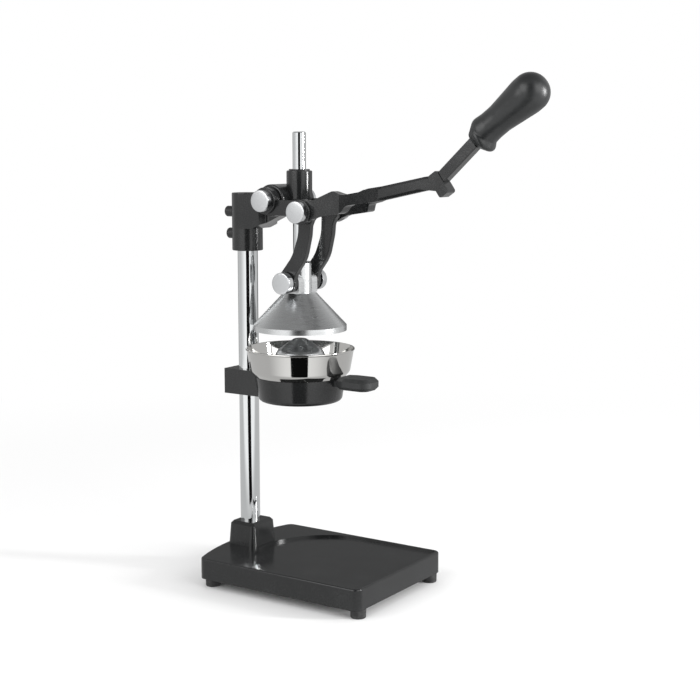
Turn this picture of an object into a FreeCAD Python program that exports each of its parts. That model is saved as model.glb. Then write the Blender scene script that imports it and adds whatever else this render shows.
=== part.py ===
import FreeCAD, Part
import math
import os
import Sketcher

# Lever citrus press on a square-cornered cast base: a chrome post carries a cup holder and a
# head, and a forked lever pushes a cone down into the cup through two curved links.
# Millimetres. X points forward, to the side that the lever reaches over, Y to the left and
# Z up. The origin is on the floor, under the middle of the whole press.

SIZES = [
    # name, value, meaning
    ("press_x", -106.7, "axis of the cone, cup and guide rod"),
    ("post_x", -186.3, "axis of the post"),
    ("fulcrum_x", -129.7, "lever's fulcrum, in the head"),
    ("fulcrum_rise", 12.1, "lever's fulcrum above the links' upper pivot"),
    ("link_x", -78.2, "upper pivot of the links, on the lever"),
    ("link_z", 460.8, "upper pivot of the links, height"),
    ("saddle_z", 374.9, "lower pivot of the links, on the cone's saddle"),
    ("running_fit", 0.05, "radial clearance of a shaft that turns or slides"),
    ("seat_fit", 0.02, "radial clearance of a piece that is fixed in its seat"),
    ("side_gap", 0.2, "gap beside a face that turns against another"),
    ("base_x", -75.7, "centre of the four feet"),
    ("foot_x", 107.3, "feet from their centre, forward and back"),
    ("foot_y", 80.7, "feet from their centre, to each side"),
    ("foot_height", 11.0, "rubber foot"),
    ("foot_radius", 9.0, "foot at the floor"),
    ("foot_top_radius", 9.4, "foot under the base"),
    ("foot_sink_radius", 4.8, "hollow of the foot for the screw's head"),
    ("foot_sink_depth", 5.0, "depth of that hollow"),
    ("foot_screw_radius", 2.5, "thread of a foot screw"),
    ("foot_screw_head_radius", 4.3, "head of a foot screw"),
    ("foot_screw_head_height", 2.8, "head of a foot screw"),
    ("foot_screw_length", 16.0, "foot screw under its head"),
    ("base_front", 116.2, "front face of the base from the feet's centre"),
    ("base_rear", 116.2, "rear corners of the base from the feet's centre"),
    ("base_half_width", 95.0, "side faces of the base from the middle"),
    ("base_height", 26.0, "base casting from its lower to its upper edge"),
    ("base_bulge", 17.3, "how far the rear edge bows out"),
    ("base_corner", 9.7, "rounding of the base's upright corners"),
    ("base_edge", 2.2, "rounding of the base's upper edge"),
    ("base_wall", 7.0, "side wall round the hollow underside"),
    ("deck_rim", 5.0, "rim round the sunk deck"),
    ("deck_centre_x", -69.0, "centre of the deck's half-round back"),
    ("deck_depth", 3.0, "sunk deck below the rim"),
    ("deck_thickness", 6.0, "deck plate"),
    ("foot_boss_radius", 8.0, "boss under the deck at each foot"),
    ("socket_front", 24.4, "front of the post's socket from the post's axis"),
    ("socket_back", 19.5, "back of the post's socket from the post's axis"),
    ("socket_half_width", 25.7, "side of the post's socket"),
    ("socket_height", 29.5, "post's socket above the rim"),
    ("socket_corner", 8.0, "rounding of the socket's upright corners"),
    ("socket_draft", 5.0, "lean of the socket's sides, in degrees"),
    ("socket_chamfer", 3.5, "chamfer round the socket's top"),
    ("socket_depth", 34.0, "depth of the hole that the post stands in"),
    ("socket_pad_radius", 21.0, "pad under the deck for the post's bolt"),
    ("socket_pad_drop", 9.0, "pad below the deck plate"),
    ("post_radius", 12.5, "post"),
    ("post_top_rise", 1.1, "upper end of the post, inside the head"),
    ("post_chamfer", 1.0, "chamfer of the post's ends"),
    ("bolt_radius", 5.0, "bolt that holds the post down"),
    ("bolt_grip", 26.0, "bolt's thread inside the post"),
    ("bolt_head_flats", 16.0, "across the flats of the bolt's head"),
    ("bolt_head_height", 6.4, "bolt's head"),
    ("washer_radius", 10.5, "washer of the post's bolt"),
    ("washer_thickness", 2.0, "washer of the post's bolt"),
    ("collar_radius", 19.0, "head's collar round the post"),
    ("collar_bottom_rise", -63.4, "lower end of the collar"),
    ("collar_top_rise", 7.6, "closed upper end of the collar"),
    ("collar_round", 1.0, "rounding of the collar's rims"),
    ("cheek_half_width", 19.0, "thick part of the head beside the collar"),
    ("cheek_front", 38.0, "front of that thick part from the post's axis"),
    ("web_bottom_rise", -35.9, "level underside of the head beside the collar, above the fulcrum"),
    ("cheek_round", 6.0, "rounding where the thick part narrows"),
    ("web_round", 15.0, "rounding where the head's underside starts to rise"),
    ("web_half_width", 9.5, "web that reaches forward to the guide"),
    ("web_heel", 20.6, "where that underside starts to rise, from the post's axis"),
    ("web_slope_end", 17.0, "front end of the rising underside, from the press's axis back"),
    ("web_toe_rise", -16.4, "underside of the head at the guide, above the fulcrum"),
    ("barrel_radius", 19.3, "cross barrel at the fulcrum"),
    ("barrel_half_width", 28.0, "end faces of the barrel"),
    ("barrel_round", 2.0, "rounding of the barrel's ends"),
    ("sleeve_radius", 15.5, "guide sleeve of the head"),
    ("sleeve_bottom_rise", -18.9, "lower end of the sleeve"),
    ("sleeve_top_rise", 35.6, "upper end of the sleeve"),
    ("sleeve_round", 1.5, "rounding of the sleeve's rims"),
    ("bush_radius", 10.8, "bronze bush in the sleeve"),
    ("bush_flange_radius", 12.6, "flange of the bush on the sleeve's top"),
    ("bush_flange_height", 1.6, "flange of the bush"),
    ("grub_radius", 4.0, "thread of the two screws behind the collar"),
    ("upper_screw_head", 12.5, "head of the upper screw"),
    ("lower_screw_head", 10.0, "head of the lower screw"),
    ("holder_screw_head", 9.0, "head of the holder's screw"),
    ("grub_head_round", 2.0, "rounding of those heads"),
    ("grub_head_radius", 6.7, "heads of those screws"),
    ("grub_socket_radius", 3.2, "key hole in those heads"),
    ("grub_socket_depth", 4.0, "key hole in those heads"),
    ("upper_screw_rise", -15.9, "upper screw"),
    ("lower_screw_rise", -42.9, "lower screw"),
    ("fulcrum_pin_radius", 6.0, "fulcrum pin"),
    ("link_pin_radius", 5.5, "pins at the links' upper and lower pivots"),
    ("arm_inner", 30.0, "inner face of each fork arm from the middle"),
    ("arm_outer", 38.0, "outer face of each fork arm"),
    ("arm_boss_face", 41.0, "outer face of the arm's bosses"),
    ("fulcrum_eye_radius", 16.0, "arm's boss at the fulcrum"),
    ("link_eye_radius", 14.8, "arm's boss at the links' pivot"),
    ("boss_round", 1.0, "rounding of the bosses' rims"),
    ("cap_radius", 13.0, "chrome caps on the pins"),
    ("cap_height", 9.0, "caps on the arm's bosses"),
    ("cap_round", 1.2, "rounding round the caps' faces"),
    ("cap_bore_depth", 5.0, "pin's end inside its cap"),
    ("spacer_radius", 11.5, "washers inside the fork arms"),
    ("arm_top_rise", 13.4, "top of the arms between the two pivots"),
    ("arm_heel_rise", -5.0, "underside of the arms ahead of the fulcrum"),
    ("arm_rise_x", -62.7, "where the arms' top starts to climb"),
    ("hump_x", -32.2, "hump on the arms"),
    ("hump_rise", 25.8, "top of the hump"),
    ("dip_x", -21.2, "dip ahead of the hump"),
    ("dip_rise", 20.8, "bottom of the dip"),
    ("throat_x", -56.2, "underside of the arms ahead of the links"),
    ("throat_rise", -5.6, "height there"),
    ("belly_x", -27.7, "lowest corner of the arms under the hump"),
    ("belly_corner_rise", -1.2, "height there"),
    ("belly_length", 4.5, "level underside ahead of that corner"),
    ("step_x", -18.2, "top of the step where the arms meet the beam"),
    ("step_rise", 9.0, "underside there"),
    ("shoulder_x", -5.2, "where the beam's top starts, ahead of the dip"),
    ("shoulder_rise", 24.6, "height there above the links' pivot"),
    ("chin_back", 20.0, "underside of the arms behind the links' pivot"),
    ("arm_bend", 12.0, "rounding of the arms' wide bends in side view"),
    ("step_bend", 7.0, "rounding of the arms' tight bends in side view"),
    ("beam_bend", 30.0, "rounding of the beam's bends in side view"),
    ("beam_front_x", 74.8, "front end of the beam, before the elbow"),
    ("beam_front_top_rise", 43.2, "beam's top there"),
    ("beam_front_bottom_rise", 27.6, "beam's underside there"),
    ("beam_rear_x", 0.8, "rear end of the beam"),
    ("beam_rear_top_rise", 28.2, "beam's top there"),
    ("beam_rear_bottom_rise", 11.8, "beam's underside there"),
    ("beam_half_width", 8.0, "side faces of the beam"),
    ("beam_chamfer", 3.0, "chamfer along the beam's edges"),
    ("fork_end_x", -23.7, "where the arms stop running parallel"),
    ("fork_meet_x", 10.3, "where the arms have closed to the beam's width"),
    ("fork_bend", 20.0, "rounding where the arms start to close"),
    ("fork_bend_back", 8.0, "start of the slot's bend behind that of the sides"),
    ("fork_root_x", -4.7, "root of the slot between the arms"),
    ("fork_root_radius", 5.0, "rounding of that root"),
    ("elbow_x", 90.5, "centre of the elbow block at the beam's end"),
    ("elbow_rise", 34.5, "height there"),
    ("elbow_tilt", 35.0, "lean of the elbow block, in degrees"),
    ("elbow_half_length", 6.9, "elbow block along its lean"),
    ("elbow_half_height", 14.5, "elbow block across its lean"),
    ("elbow_half_width", 8.2, "side faces of the elbow block"),
    ("elbow_round", 3.0, "rounding of the elbow's corners"),
    ("shank_x", 87.1, "centre of the shank's lower end, inside the elbow"),
    ("shank_foot_rise", 36.9, "height there"),
    ("shank_rise", 43.3, "shank's slope in degrees"),
    ("shank_height", 13.6, "bar of the shank, in side view"),
    ("shank_half_width", 7.0, "side faces of the shank"),
    ("shank_chamfer", 1.2, "chamfer along the shank's edges"),
    ("tang_radius", 5.0, "round tang of the shank inside the grip"),
    ("tang_length", 70.0, "tang"),
    ("grip_x", 131.7, "centre of the grip's lower end"),
    ("grip_foot_rise", 83.3, "height there"),
    ("grip_tilt", 37.0, "grip's slope in degrees"),
    ("grip_length", 105.5, "grip"),
    ("grip_end_radius", 9.5, "grip's lower end"),
    ("grip_end_round", 1.5, "rounding of that end"),
    ("grip_crown_radius", 18.0, "shoulder behind the lower end"),
    ("grip_crown_place", 14.0, "shoulder from the lower end"),
    ("grip_neck_radius", 16.7, "grip's narrow stretch"),
    ("grip_neck_start", 26.0, "narrow stretch from the lower end"),
    ("grip_neck_end", 39.5, "end of the narrow stretch"),
    ("grip_belly_radius", 21.7, "grip's widest stretch"),
    ("grip_belly_place", 77.5, "widest stretch from the lower end"),
    ("grip_bend", 20.0, "rounding of the grip's shoulder and neck"),
    ("grip_tip_round", 20.7, "rounding of the grip's far end"),
    ("guard_drop", 4.0, "guard's axis below the grip's"),
    ("guard_radius", 20.2, "crest of the guard round its axis, before rounding"),
    ("guard_place", 9.8, "crest from the lower end"),
    ("guard_round", 4.0, "rounding of the crest"),
    ("guard_foot_radius", 10.0, "lower foot of the guard"),
    ("guard_foot_place", 2.0, "lower foot from the grip's end"),
    ("guard_back_radius", 13.5, "upper foot of the guard"),
    ("guard_back_place", 18.5, "upper foot from the grip's end"),
    ("guard_blend", 3.0, "fillet where the guard rises from the grip"),
    ("link_inner", 20.0, "inner face of each link from the middle"),
    ("link_outer", 28.0, "outer face of each link"),
    ("link_end_radius", 14.0, "round ends of the links"),
    ("link_foot_radius", 12.3, "round lower ends of the links, clear of the cone"),
    ("link_half_width", 8.4, "half the width of a link's bar"),
    ("link_knee_x", -81.1, "centre of the link's bar at its upper bend"),
    ("link_knee_z", 432.0, "height there"),
    ("link_bend_x", -90.2, "centre of the link's bar at its lower bend"),
    ("link_bend_z", 407.0, "height there"),
    ("link_curve", 45.0, "radius of the link's bends"),
    ("link_slack", 4.0, "play between the lower pin and its hole in the links"),
    ("link_edge", 1.2, "rounding of the links' edges"),
    ("rod_radius", 8.0, "guide rod"),
    ("rod_top_rise", 81.7, "upper end of the guide rod"),
    ("rod_chamfer", 1.2, "chamfer of the rod's top"),
    ("hub_radius", 14.4, "hub of the cone"),
    ("hub_top", 399.0, "upper end of the hub"),
    ("hub_bottom", 361.5, "lower end of the hub, on the cone"),
    ("hub_bore_depth", 14.0, "rod's end inside the hub"),
    ("saddle_radius", 12.2, "round top of the cross block"),
    ("saddle_half_width", 19.4, "end faces of the cross block"),
    ("saddle_cap_height", 9.0, "caps of the lower pin"),
    ("saddle_neck", 3.0, "neck of the lower pin inside its cap"),
    ("saddle_neck_radius", 8.0, "neck of the lower pin"),
    ("cone_rim_radius", 57.0, "rim of the cone"),
    ("cone_rim_bottom", 315.5, "lower edge of the cone's rim"),
    ("cone_rim_height", 6.5, "straight rim of the cone"),
    ("cone_top_radius", 20.0, "flat top of the cone"),
    ("cone_shoulder_radius", 24.4, "where the cone's slope starts"),
    ("cone_shoulder_drop", 5.0, "start of the slope below the cone's top"),
    ("cone_wall", 2.5, "sheet of the cone"),
    ("cone_screw_radius", 4.0, "screw that holds the cone to the hub"),
    ("cone_screw_length", 10.0, "thread of that screw"),
    ("cone_screw_head_radius", 8.0, "head of that screw"),
    ("cone_screw_head_height", 4.0, "head of that screw"),
    ("ring_top", 259.0, "upper face of the holder's ring"),
    ("ring_top_radius", 56.0, "outside of the ring at its top"),
    ("ring_bottom", 228.3, "lower edge of the ring"),
    ("ring_bottom_radius", 51.0, "outside of the ring at its bottom"),
    ("ring_round", 6.0, "rounding of the ring's lower edge"),
    ("ring_bore", 45.0, "opening through the ring"),
    ("ring_step_depth", 10.5, "wider mouth of the ring that takes the cup's spigot"),
    ("arm_block_half_width", 17.5, "holder's arm and clamp, side faces"),
    ("arm_block_back", 25.4, "back of the clamp from the post's axis"),
    ("arm_block_bottom", 229.5, "lower face of the arm"),
    ("arm_block_top", 261.0, "upper face of the arm"),
    ("arm_block_edge", 2.0, "rounding of the arm's edges"),
    ("holder_screw_z", 245.4, "screw that clamps the holder to the post"),
    ("notch_half_width", 8.3, "notch in the ring for the cup's handle"),
    ("notch_depth", 8.5, "notch below the ring's top"),
    ("cup_rim_radius", 66.8, "rim of the cup"),
    ("cup_rim_z", 293.5, "rim of the cup"),
    ("cup_side_radius", 61.1, "lower end of the cup's side"),
    ("cup_side_z", 265.0, "height there"),
    ("cup_shoulder_radius", 55.6, "cup's shoulder, on the ring"),
    ("cup_turn_radius", 9.0, "rounding between the cup's side and its shoulder"),
    ("cup_wall", 1.6, "sheet of the cup"),
    ("spigot_radius", 50.0, "cup's spigot inside the ring"),
    ("spigot_gap", 0.3, "play of the spigot in the ring"),
    ("spigot_depth", 9.0, "cup's spigot below its shoulder"),
    ("cup_funnel_radius", 38.0, "top of the cup's funnel"),
    ("cup_spout_radius", 15.0, "spout"),
    ("cup_spout_top", 235.0, "where the funnel meets the spout"),
    ("cup_spout_bottom", 228.0, "lower end of the spout"),
    ("skirt_radius", 42.0, "strainer's skirt, standing on the cup's floor"),
    ("strainer_rim_radius", 54.0, "rim of the strainer, in the cup"),
    ("strainer_rim_height", 5.0, "rim above the strainer's floor"),
    ("strainer_floor_z", 266.0, "strainer's floor"),
    ("strainer_dome_radius", 36.0, "foot of the strainer's dome"),
    ("strainer_top_z", 305.0, "top of the strainer's dome"),
    ("strainer_wall", 1.5, "sheet of the strainer"),
    ("slot_count", 18, "slots round the strainer's floor"),
    ("slot_width", 2.5, "slots"),
    ("slot_length", 8.0, "slots"),
    ("slot_circle", 47.5, "middle of the slots from the axis"),
    ("paddle_rear", 61.5, "rear end of the cup's paddle handle from the cup's axis"),
    ("paddle_front", 108.0, "front end of the paddle"),
    ("paddle_half_width", 18.5, "side faces of the paddle"),
    ("paddle_bottom", 249.5, "lower face of the paddle"),
    ("paddle_top", 264.0, "upper face of the paddle"),
    ("paddle_corner", 13.0, "rounding of the paddle's front corners"),
    ("paddle_chamfer", 4.0, "chamfer along the paddle's edges"),
    ("paddle_neck_half_width", 7.8, "neck of the handle in the ring's notch"),
    ("paddle_neck_gap", 0.4, "gap between the neck and the notch's floor"),
    ("paddle_screw_radius", 2.0, "screw through the cup's wall into the neck"),
    ("paddle_screw_head_radius", 3.0, "head of that screw, inside the cup"),
    ("paddle_screw_head_height", 1.6, "head of that screw"),
    ("paddle_screw_length", 16.0, "thread of that screw"),
]


class Size:
    """A length that knows its value and the sheet formula that gives it."""

    def __init__(self, value, text):
        self.value = value
        self.text = text

    def joined(self, other, sign, value):
        return Size(value, f"({self.text} {sign} {as_size(other).text})")

    def __add__(self, other):
        return self.joined(other, "+", self.value + as_size(other).value)

    def __sub__(self, other):
        return self.joined(other, "-", self.value - as_size(other).value)

    def __mul__(self, other):
        return self.joined(other, "*", self.value * as_size(other).value)

    def __truediv__(self, other):
        return self.joined(other, "/", self.value / as_size(other).value)

    def __radd__(self, other):
        return as_size(other) + self

    def __rsub__(self, other):
        return as_size(other) - self

    def __rmul__(self, other):
        return as_size(other) * self

    def __neg__(self):
        return Size(-self.value, f"(-1 * {self.text})")


def as_size(number):
    return number if isinstance(number, Size) else Size(float(number), f"{number}")


def sine(degrees):
    return Size(math.sin(math.radians(degrees.value)), f"sin({degrees.text})")


def cosine(degrees):
    return Size(math.cos(math.radians(degrees.value)), f"cos({degrees.text})")


def arctangent(slope):
    return Size(math.degrees(math.atan(slope.value)), f"atan({slope.text})")


class Sheet:
    """The spreadsheet of driving sizes, read by name."""

    def __init__(self, document):
        self.table = document.addObject("Spreadsheet::Sheet", "Sizes")
        for row, (name, value, meaning) in enumerate(SIZES, start=1):
            self.table.set(f"A{row}", meaning)
            self.table.set(f"B{row}", f"{value}")
            self.table.setAlias(f"B{row}", name)
        document.recompute()

    def __getattr__(self, name):
        return Size(float(self.table.get(name)), f"Sizes.{name}")


doc = FreeCAD.newDocument("CitrusPress")
size = Sheet(doc)
nodes = []

fulcrum_z = size.link_z + size.fulcrum_rise


def above_link(rise):
    """Height of a spot of the lever, from its rise above the links' upper pivot."""
    return size.link_z + rise


def above_fulcrum(rise):
    """Height of a spot of the head, from its rise above the fulcrum."""
    return fulcrum_z + rise


def bind(item, prop, value):
    item.setExpression(prop, as_size(value).text)


def place(item, x=0, y=0, z=0, about=None, angle=0):
    """Puts an object's own origin at x, y, z and turns it about an axis by some degrees."""
    if about is not None:
        turn = FreeCAD.Rotation(FreeCAD.Vector(*about), as_size(angle).value)
        item.Placement = FreeCAD.Placement(FreeCAD.Vector(), turn)
        bind(item, "Placement.Rotation.Angle", angle)
    for axis, value in zip("xyz", (x, y, z)):
        bind(item, f"Placement.Base.{axis}", value)


def node(item):
    """Keeps an object as one of the press's pieces."""
    nodes.append(item)
    return item


def new_body(label):
    body = doc.addObject("PartDesign::Body", label)
    body.Label = label
    return body


def new_sketch(body, plane, height=0):
    """A sketch on one of the body's own planes, moved along that plane's normal."""
    sketch = body.newObject("Sketcher::SketchObject", f"{body.Name}_sketch")
    datum = next(item for item in body.Origin.OriginFeatures if item.Role == plane)
    sketch.AttachmentSupport = (datum, "")
    sketch.MapMode = "FlatFace"
    bind(sketch, "AttachmentOffset.Base.z", height)
    return sketch


def fix_point(sketch, geometry, vertex, x, y):
    """Ties a point of the sketch to its distances from the sketch's origin."""
    for kind, value in (("DistanceX", as_size(x)), ("DistanceY", as_size(y))):
        constraint = Sketcher.Constraint(kind, -1, 1, geometry, vertex, value.value)
        index = sketch.addConstraint(constraint)
        bind(sketch, f"Constraints[{index}]", value)


def fix_radius(sketch, geometry, radius):
    index = sketch.addConstraint(Sketcher.Constraint("Radius", geometry, radius.value))
    bind(sketch, f"Constraints[{index}]", radius)


def draw_circle(sketch, x, y, radius):
    centre = FreeCAD.Vector(as_size(x).value, as_size(y).value, 0)
    circle = Part.Circle(centre, FreeCAD.Vector(0, 0, 1), radius.value)
    geometry = sketch.addGeometry(circle)
    fix_point(sketch, geometry, 3, x, y)
    fix_radius(sketch, geometry, radius)


def corner_ends(before, corner, after, radius):
    """Where a corner's rounding starts and ends, and the centre of its arc."""
    back = (before - corner).normalize()
    ahead = (after - corner).normalize()
    half_angle = back.getAngle(ahead) / 2
    run = radius / math.tan(half_angle)
    middle = (back + ahead).normalize()
    return corner + back * run, corner + ahead * run, corner + middle * (radius / math.sin(half_angle))


def draw_outline(sketch, corners):
    """A closed outline. A corner is (x, y), or (x, y, radius) where it is rounded."""
    count = len(corners)
    spots = [FreeCAD.Vector(as_size(c[0]).value, as_size(c[1]).value, 0) for c in corners]
    starts, ends, centres = list(spots), list(spots), list(spots)
    for i, corner in enumerate(corners):
        if len(corner) == 3:
            radius = as_size(corner[2]).value
            rounding = corner_ends(spots[i - 1], spots[i], spots[(i + 1) % count], radius)
            starts[i], ends[i], centres[i] = rounding
    lines = []
    for i in range(count):
        line = Part.LineSegment(ends[i], starts[(i + 1) % count])
        lines.append(sketch.addGeometry(line))
    for i, corner in enumerate(corners):
        before, after = lines[i - 1], lines[i]
        if len(corner) == 3:
            round_corner(sketch, before, after, corner, (starts[i], ends[i], centres[i]))
        else:
            sketch.addConstraint(Sketcher.Constraint("Coincident", before, 2, after, 1))
            fix_point(sketch, after, 1, corner[0], corner[1])


def round_corner(sketch, before, after, corner, rounding):
    """An arc tangent to both lines, whose radius and sharp corner are both tied."""
    start, end, centre = rounding
    radius = as_size(corner[2])
    first = math.atan2(start.y - centre.y, start.x - centre.x)
    last = math.atan2(end.y - centre.y, end.x - centre.x)
    turns_left = (last - first) % (2 * math.pi) < math.pi
    circle = Part.Circle(centre, FreeCAD.Vector(0, 0, 1), radius.value)
    angles = (first, last) if turns_left else (last, first)
    arc = sketch.addGeometry(Part.ArcOfCircle(circle, *angles))
    start_vertex, end_vertex = (1, 2) if turns_left else (2, 1)
    sketch.addConstraint(Sketcher.Constraint("Tangent", before, 2, arc, start_vertex))
    sketch.addConstraint(Sketcher.Constraint("Tangent", after, 1, arc, end_vertex))
    spot = FreeCAD.Vector(as_size(corner[0]).value, as_size(corner[1]).value, 0)
    mark = sketch.addGeometry(Part.Point(spot), True)
    fix_point(sketch, mark, 1, corner[0], corner[1])
    sketch.addConstraint(Sketcher.Constraint("PointOnObject", mark, 1, before))
    sketch.addConstraint(Sketcher.Constraint("PointOnObject", mark, 1, after))
    fix_radius(sketch, arc, radius)


def draw_bow(sketch, x, half_width, bulge):
    """A flat bow: a chord along Y at x, and the arc that bulges behind it."""
    radius = (half_width * half_width + bulge * bulge) / (2 * bulge)
    chord = Part.LineSegment(FreeCAD.Vector(x.value, -half_width.value, 0),
                             FreeCAD.Vector(x.value, half_width.value, 0))
    centre = FreeCAD.Vector(x.value - bulge.value + radius.value, 0, 0)
    half_angle = math.asin(half_width.value / radius.value)
    circle = Part.Circle(centre, FreeCAD.Vector(0, 0, 1), radius.value)
    arc = Part.ArcOfCircle(circle, math.pi - half_angle, math.pi + half_angle)
    line = sketch.addGeometry(chord)
    curve = sketch.addGeometry(arc)
    fix_point(sketch, line, 1, x, -half_width)
    fix_point(sketch, line, 2, x, half_width)
    sketch.addConstraint(Sketcher.Constraint("Coincident", curve, 1, line, 2))
    sketch.addConstraint(Sketcher.Constraint("Coincident", curve, 2, line, 1))
    fix_radius(sketch, curve, radius)


def pad(body, sketch, length, both_ways=False, lean=None):
    """Solid from a sketch. It grows along the plane's normal, or to both sides of it."""
    feature = body.newObject("PartDesign::Pad", f"{body.Name}_pad")
    feature.Profile = sketch
    bind(feature, "Length", length)
    feature.SideType = "Symmetric" if both_ways else "One side"
    if lean is not None:
        bind(feature, "TaperAngle", lean)
    sketch.Visibility = False
    doc.recompute()
    return feature


def revolve(body, sketch):
    """Solid of revolution about the sketch's upright axis."""
    feature = body.newObject("PartDesign::Revolution", f"{body.Name}_turned")
    feature.Profile = sketch
    feature.ReferenceAxis = (sketch, ["V_Axis"])
    feature.Angle = 360
    doc.recompute()
    return feature


def pocket(body, sketch, length, both_ways=False, along_normal=False):
    """Cuts a sketch out of the body and makes sure that it took something away."""
    before = body.Shape.Volume
    feature = body.newObject("PartDesign::Pocket", f"{body.Name}_pocket")
    feature.Profile = sketch
    bind(feature, "Length", length)
    feature.SideType = "Symmetric" if both_ways else "One side"
    feature.Reversed = along_normal
    doc.recompute()
    check_cut(body, before)
    return feature


def check_cut(body, before):
    if not body.Shape.Volume < before - 0.01:
        raise ValueError(f"a cut in {body.Label} takes nothing away")


def pick_edges(body, test):
    shape = body.Tip.Shape
    return [f"Edge{i}" for i, edge in enumerate(shape.Edges, start=1) if test(edge)]


def soften(body, kind, amount, test):
    """Fillets or chamfers the edges that the test picks."""
    edges = pick_edges(body, test)
    if not edges:
        raise ValueError(f"no edge to soften in {body.Label}")
    rounded = body.Tip
    feature = body.newObject(f"PartDesign::{kind}", f"{body.Name}_{kind}")
    feature.Base = (rounded, edges)
    bind(feature, "Radius" if kind == "Fillet" else "Size", amount)
    doc.recompute()
    return feature


def near(first, second):
    return abs(first - second) < 0.02


def is_level_at(edge, z):
    """True for an edge that lies flat at height z."""
    return near(edge.BoundBox.ZMin, z.value) and near(edge.BoundBox.ZMax, z.value)


def is_upright(edge):
    box = edge.BoundBox
    return near(box.XLength, 0) and near(box.YLength, 0)


def is_cross_at(edge, y):
    """True for an edge that lies in the plane at y."""
    return near(edge.BoundBox.YMin, y.value) and near(edge.BoundBox.YMax, y.value)


# Base casting

base_top = size.foot_height + size.base_height
deck_top = base_top - size.deck_depth
deck_underside = deck_top - size.deck_thickness


def draw_base_plan(body, height, inset, length, cut=False):
    """The base's plan, drawn in by inset: a rectangle, and a bow behind it."""
    rear = size.base_x - size.base_rear + inset
    front = size.base_x + size.base_front - inset
    half_width = size.base_half_width - inset
    block = new_sketch(body, "XY_Plane", height)
    draw_outline(block, [(rear, -half_width), (front, -half_width), (front, half_width),
                         (rear, half_width)])
    bow = new_sketch(body, "XY_Plane", height)
    draw_bow(bow, rear, half_width, size.base_bulge)
    for sketch in (block, bow):
        if cut:
            pocket(body, sketch, length, along_normal=True)
        else:
            pad(body, sketch, length)


def make_base():
    body = new_body("base_casting")
    draw_base_plan(body, size.foot_height, as_size(0), size.base_height)
    soften(body, "Fillet", size.base_corner, is_upright)
    soften(body, "Fillet", size.base_edge, lambda edge: is_level_at(edge, base_top))
    cut_deck(body)
    cut_underside(body)
    add_foot_bosses(body)
    add_post_socket(body)
    return node(body)


def cut_deck(body):
    """The sunk deck: straight at the front, half round at the back."""
    half_width = size.base_half_width - size.deck_rim
    centre = size.deck_centre_x
    front = size.base_x + size.base_front - size.deck_rim
    corner = size.base_corner - size.deck_rim
    block = new_sketch(body, "XY_Plane", base_top)
    draw_outline(block, [(centre, -half_width), (front, -half_width, corner),
                         (front, half_width, corner), (centre, half_width)])
    pocket(body, block, size.deck_depth)
    rounded = new_sketch(body, "XY_Plane", base_top)
    draw_circle(rounded, centre, 0, half_width)
    pocket(body, rounded, size.deck_depth)


def cut_underside(body):
    depth = deck_underside - size.foot_height
    draw_base_plan(body, size.foot_height, size.base_wall, depth, cut=True)


def add_foot_bosses(body):
    bosses = new_sketch(body, "XY_Plane", size.foot_height)
    holes = new_sketch(body, "XY_Plane", size.foot_height)
    for along in (-1, 1):
        for side in (-1, 1):
            x, y = size.base_x + along * size.foot_x, side * size.foot_y
            draw_circle(bosses, x, y, size.foot_boss_radius)
            draw_circle(holes, x, y, size.foot_screw_radius + size.seat_fit)
    pad(body, bosses, deck_underside - size.foot_height)
    depth = size.foot_screw_length - size.foot_height + size.foot_sink_depth + 1
    pocket(body, holes, depth, along_normal=True)


def add_post_socket(body):
    """The tapered block that the post stands in, and its pad under the deck."""
    front = size.post_x + size.socket_front
    back = size.post_x - size.socket_back
    half_width = size.socket_half_width
    block = new_sketch(body, "XY_Plane", deck_underside)
    corner = size.socket_corner
    draw_outline(block, [(back, -half_width, corner), (front, -half_width, corner),
                         (front, half_width, corner), (back, half_width, corner)])
    top = base_top + size.socket_height
    pad(body, block, top - deck_underside, lean=-size.socket_draft)
    soften(body, "Chamfer", size.socket_chamfer, lambda edge: is_level_at(edge, top))
    under = new_sketch(body, "XY_Plane", deck_underside - size.socket_pad_drop)
    draw_circle(under, size.post_x, 0, size.socket_pad_radius)
    pad(body, under, size.socket_pad_drop)
    bore = new_sketch(body, "XY_Plane", top)
    draw_circle(bore, size.post_x, 0, size.post_radius + size.seat_fit)
    pocket(body, bore, size.socket_depth)
    hole = new_sketch(body, "XY_Plane", top)
    draw_circle(hole, size.post_x, 0, size.bolt_radius + size.seat_fit)
    pocket(body, hole, size.socket_height + size.base_height)


make_base()


# Feet and their screws

def make_foot(label, x, y):
    body = new_body(label)
    sketch = new_sketch(body, "XZ_Plane")
    hole = size.foot_screw_radius + size.seat_fit
    draw_outline(sketch, [(size.foot_sink_radius, 0), (size.foot_radius, 0),
                          (size.foot_top_radius, size.foot_height), (hole, size.foot_height),
                          (hole, size.foot_sink_depth),
                          (size.foot_sink_radius, size.foot_sink_depth)])
    revolve(body, sketch)
    place(body, x, y)
    return node(body)


def make_foot_screw(label, x, y):
    body = new_body(label)
    sketch = new_sketch(body, "XZ_Plane")
    draw_outline(sketch, [(0, -size.foot_screw_head_height),
                          (size.foot_screw_head_radius, -size.foot_screw_head_height),
                          (size.foot_screw_head_radius, 0), (size.foot_screw_radius, 0),
                          (size.foot_screw_radius, size.foot_screw_length),
                          (0, size.foot_screw_length)])
    revolve(body, sketch)
    place(body, x, y, size.foot_sink_depth)
    return body


def make_feet():
    screws = []
    for along, along_name in ((1, "front"), (-1, "rear")):
        for side, side_name in ((1, "left"), (-1, "right")):
            x, y = size.base_x + along * size.foot_x, side * size.foot_y
            make_foot(f"foot_{along_name}_{side_name}", x, y)
            screws.append(make_foot_screw(f"screw_{along_name}_{side_name}", x, y))
    group = doc.addObject("Part::Compound", "foot_screws")
    group.Label = "foot_screws"
    group.Links = screws
    node(group)


make_feet()


# Post, its bolt and washer

post_bottom = base_top + size.socket_height - size.socket_depth
pad_bottom = deck_underside - size.socket_pad_drop


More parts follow.
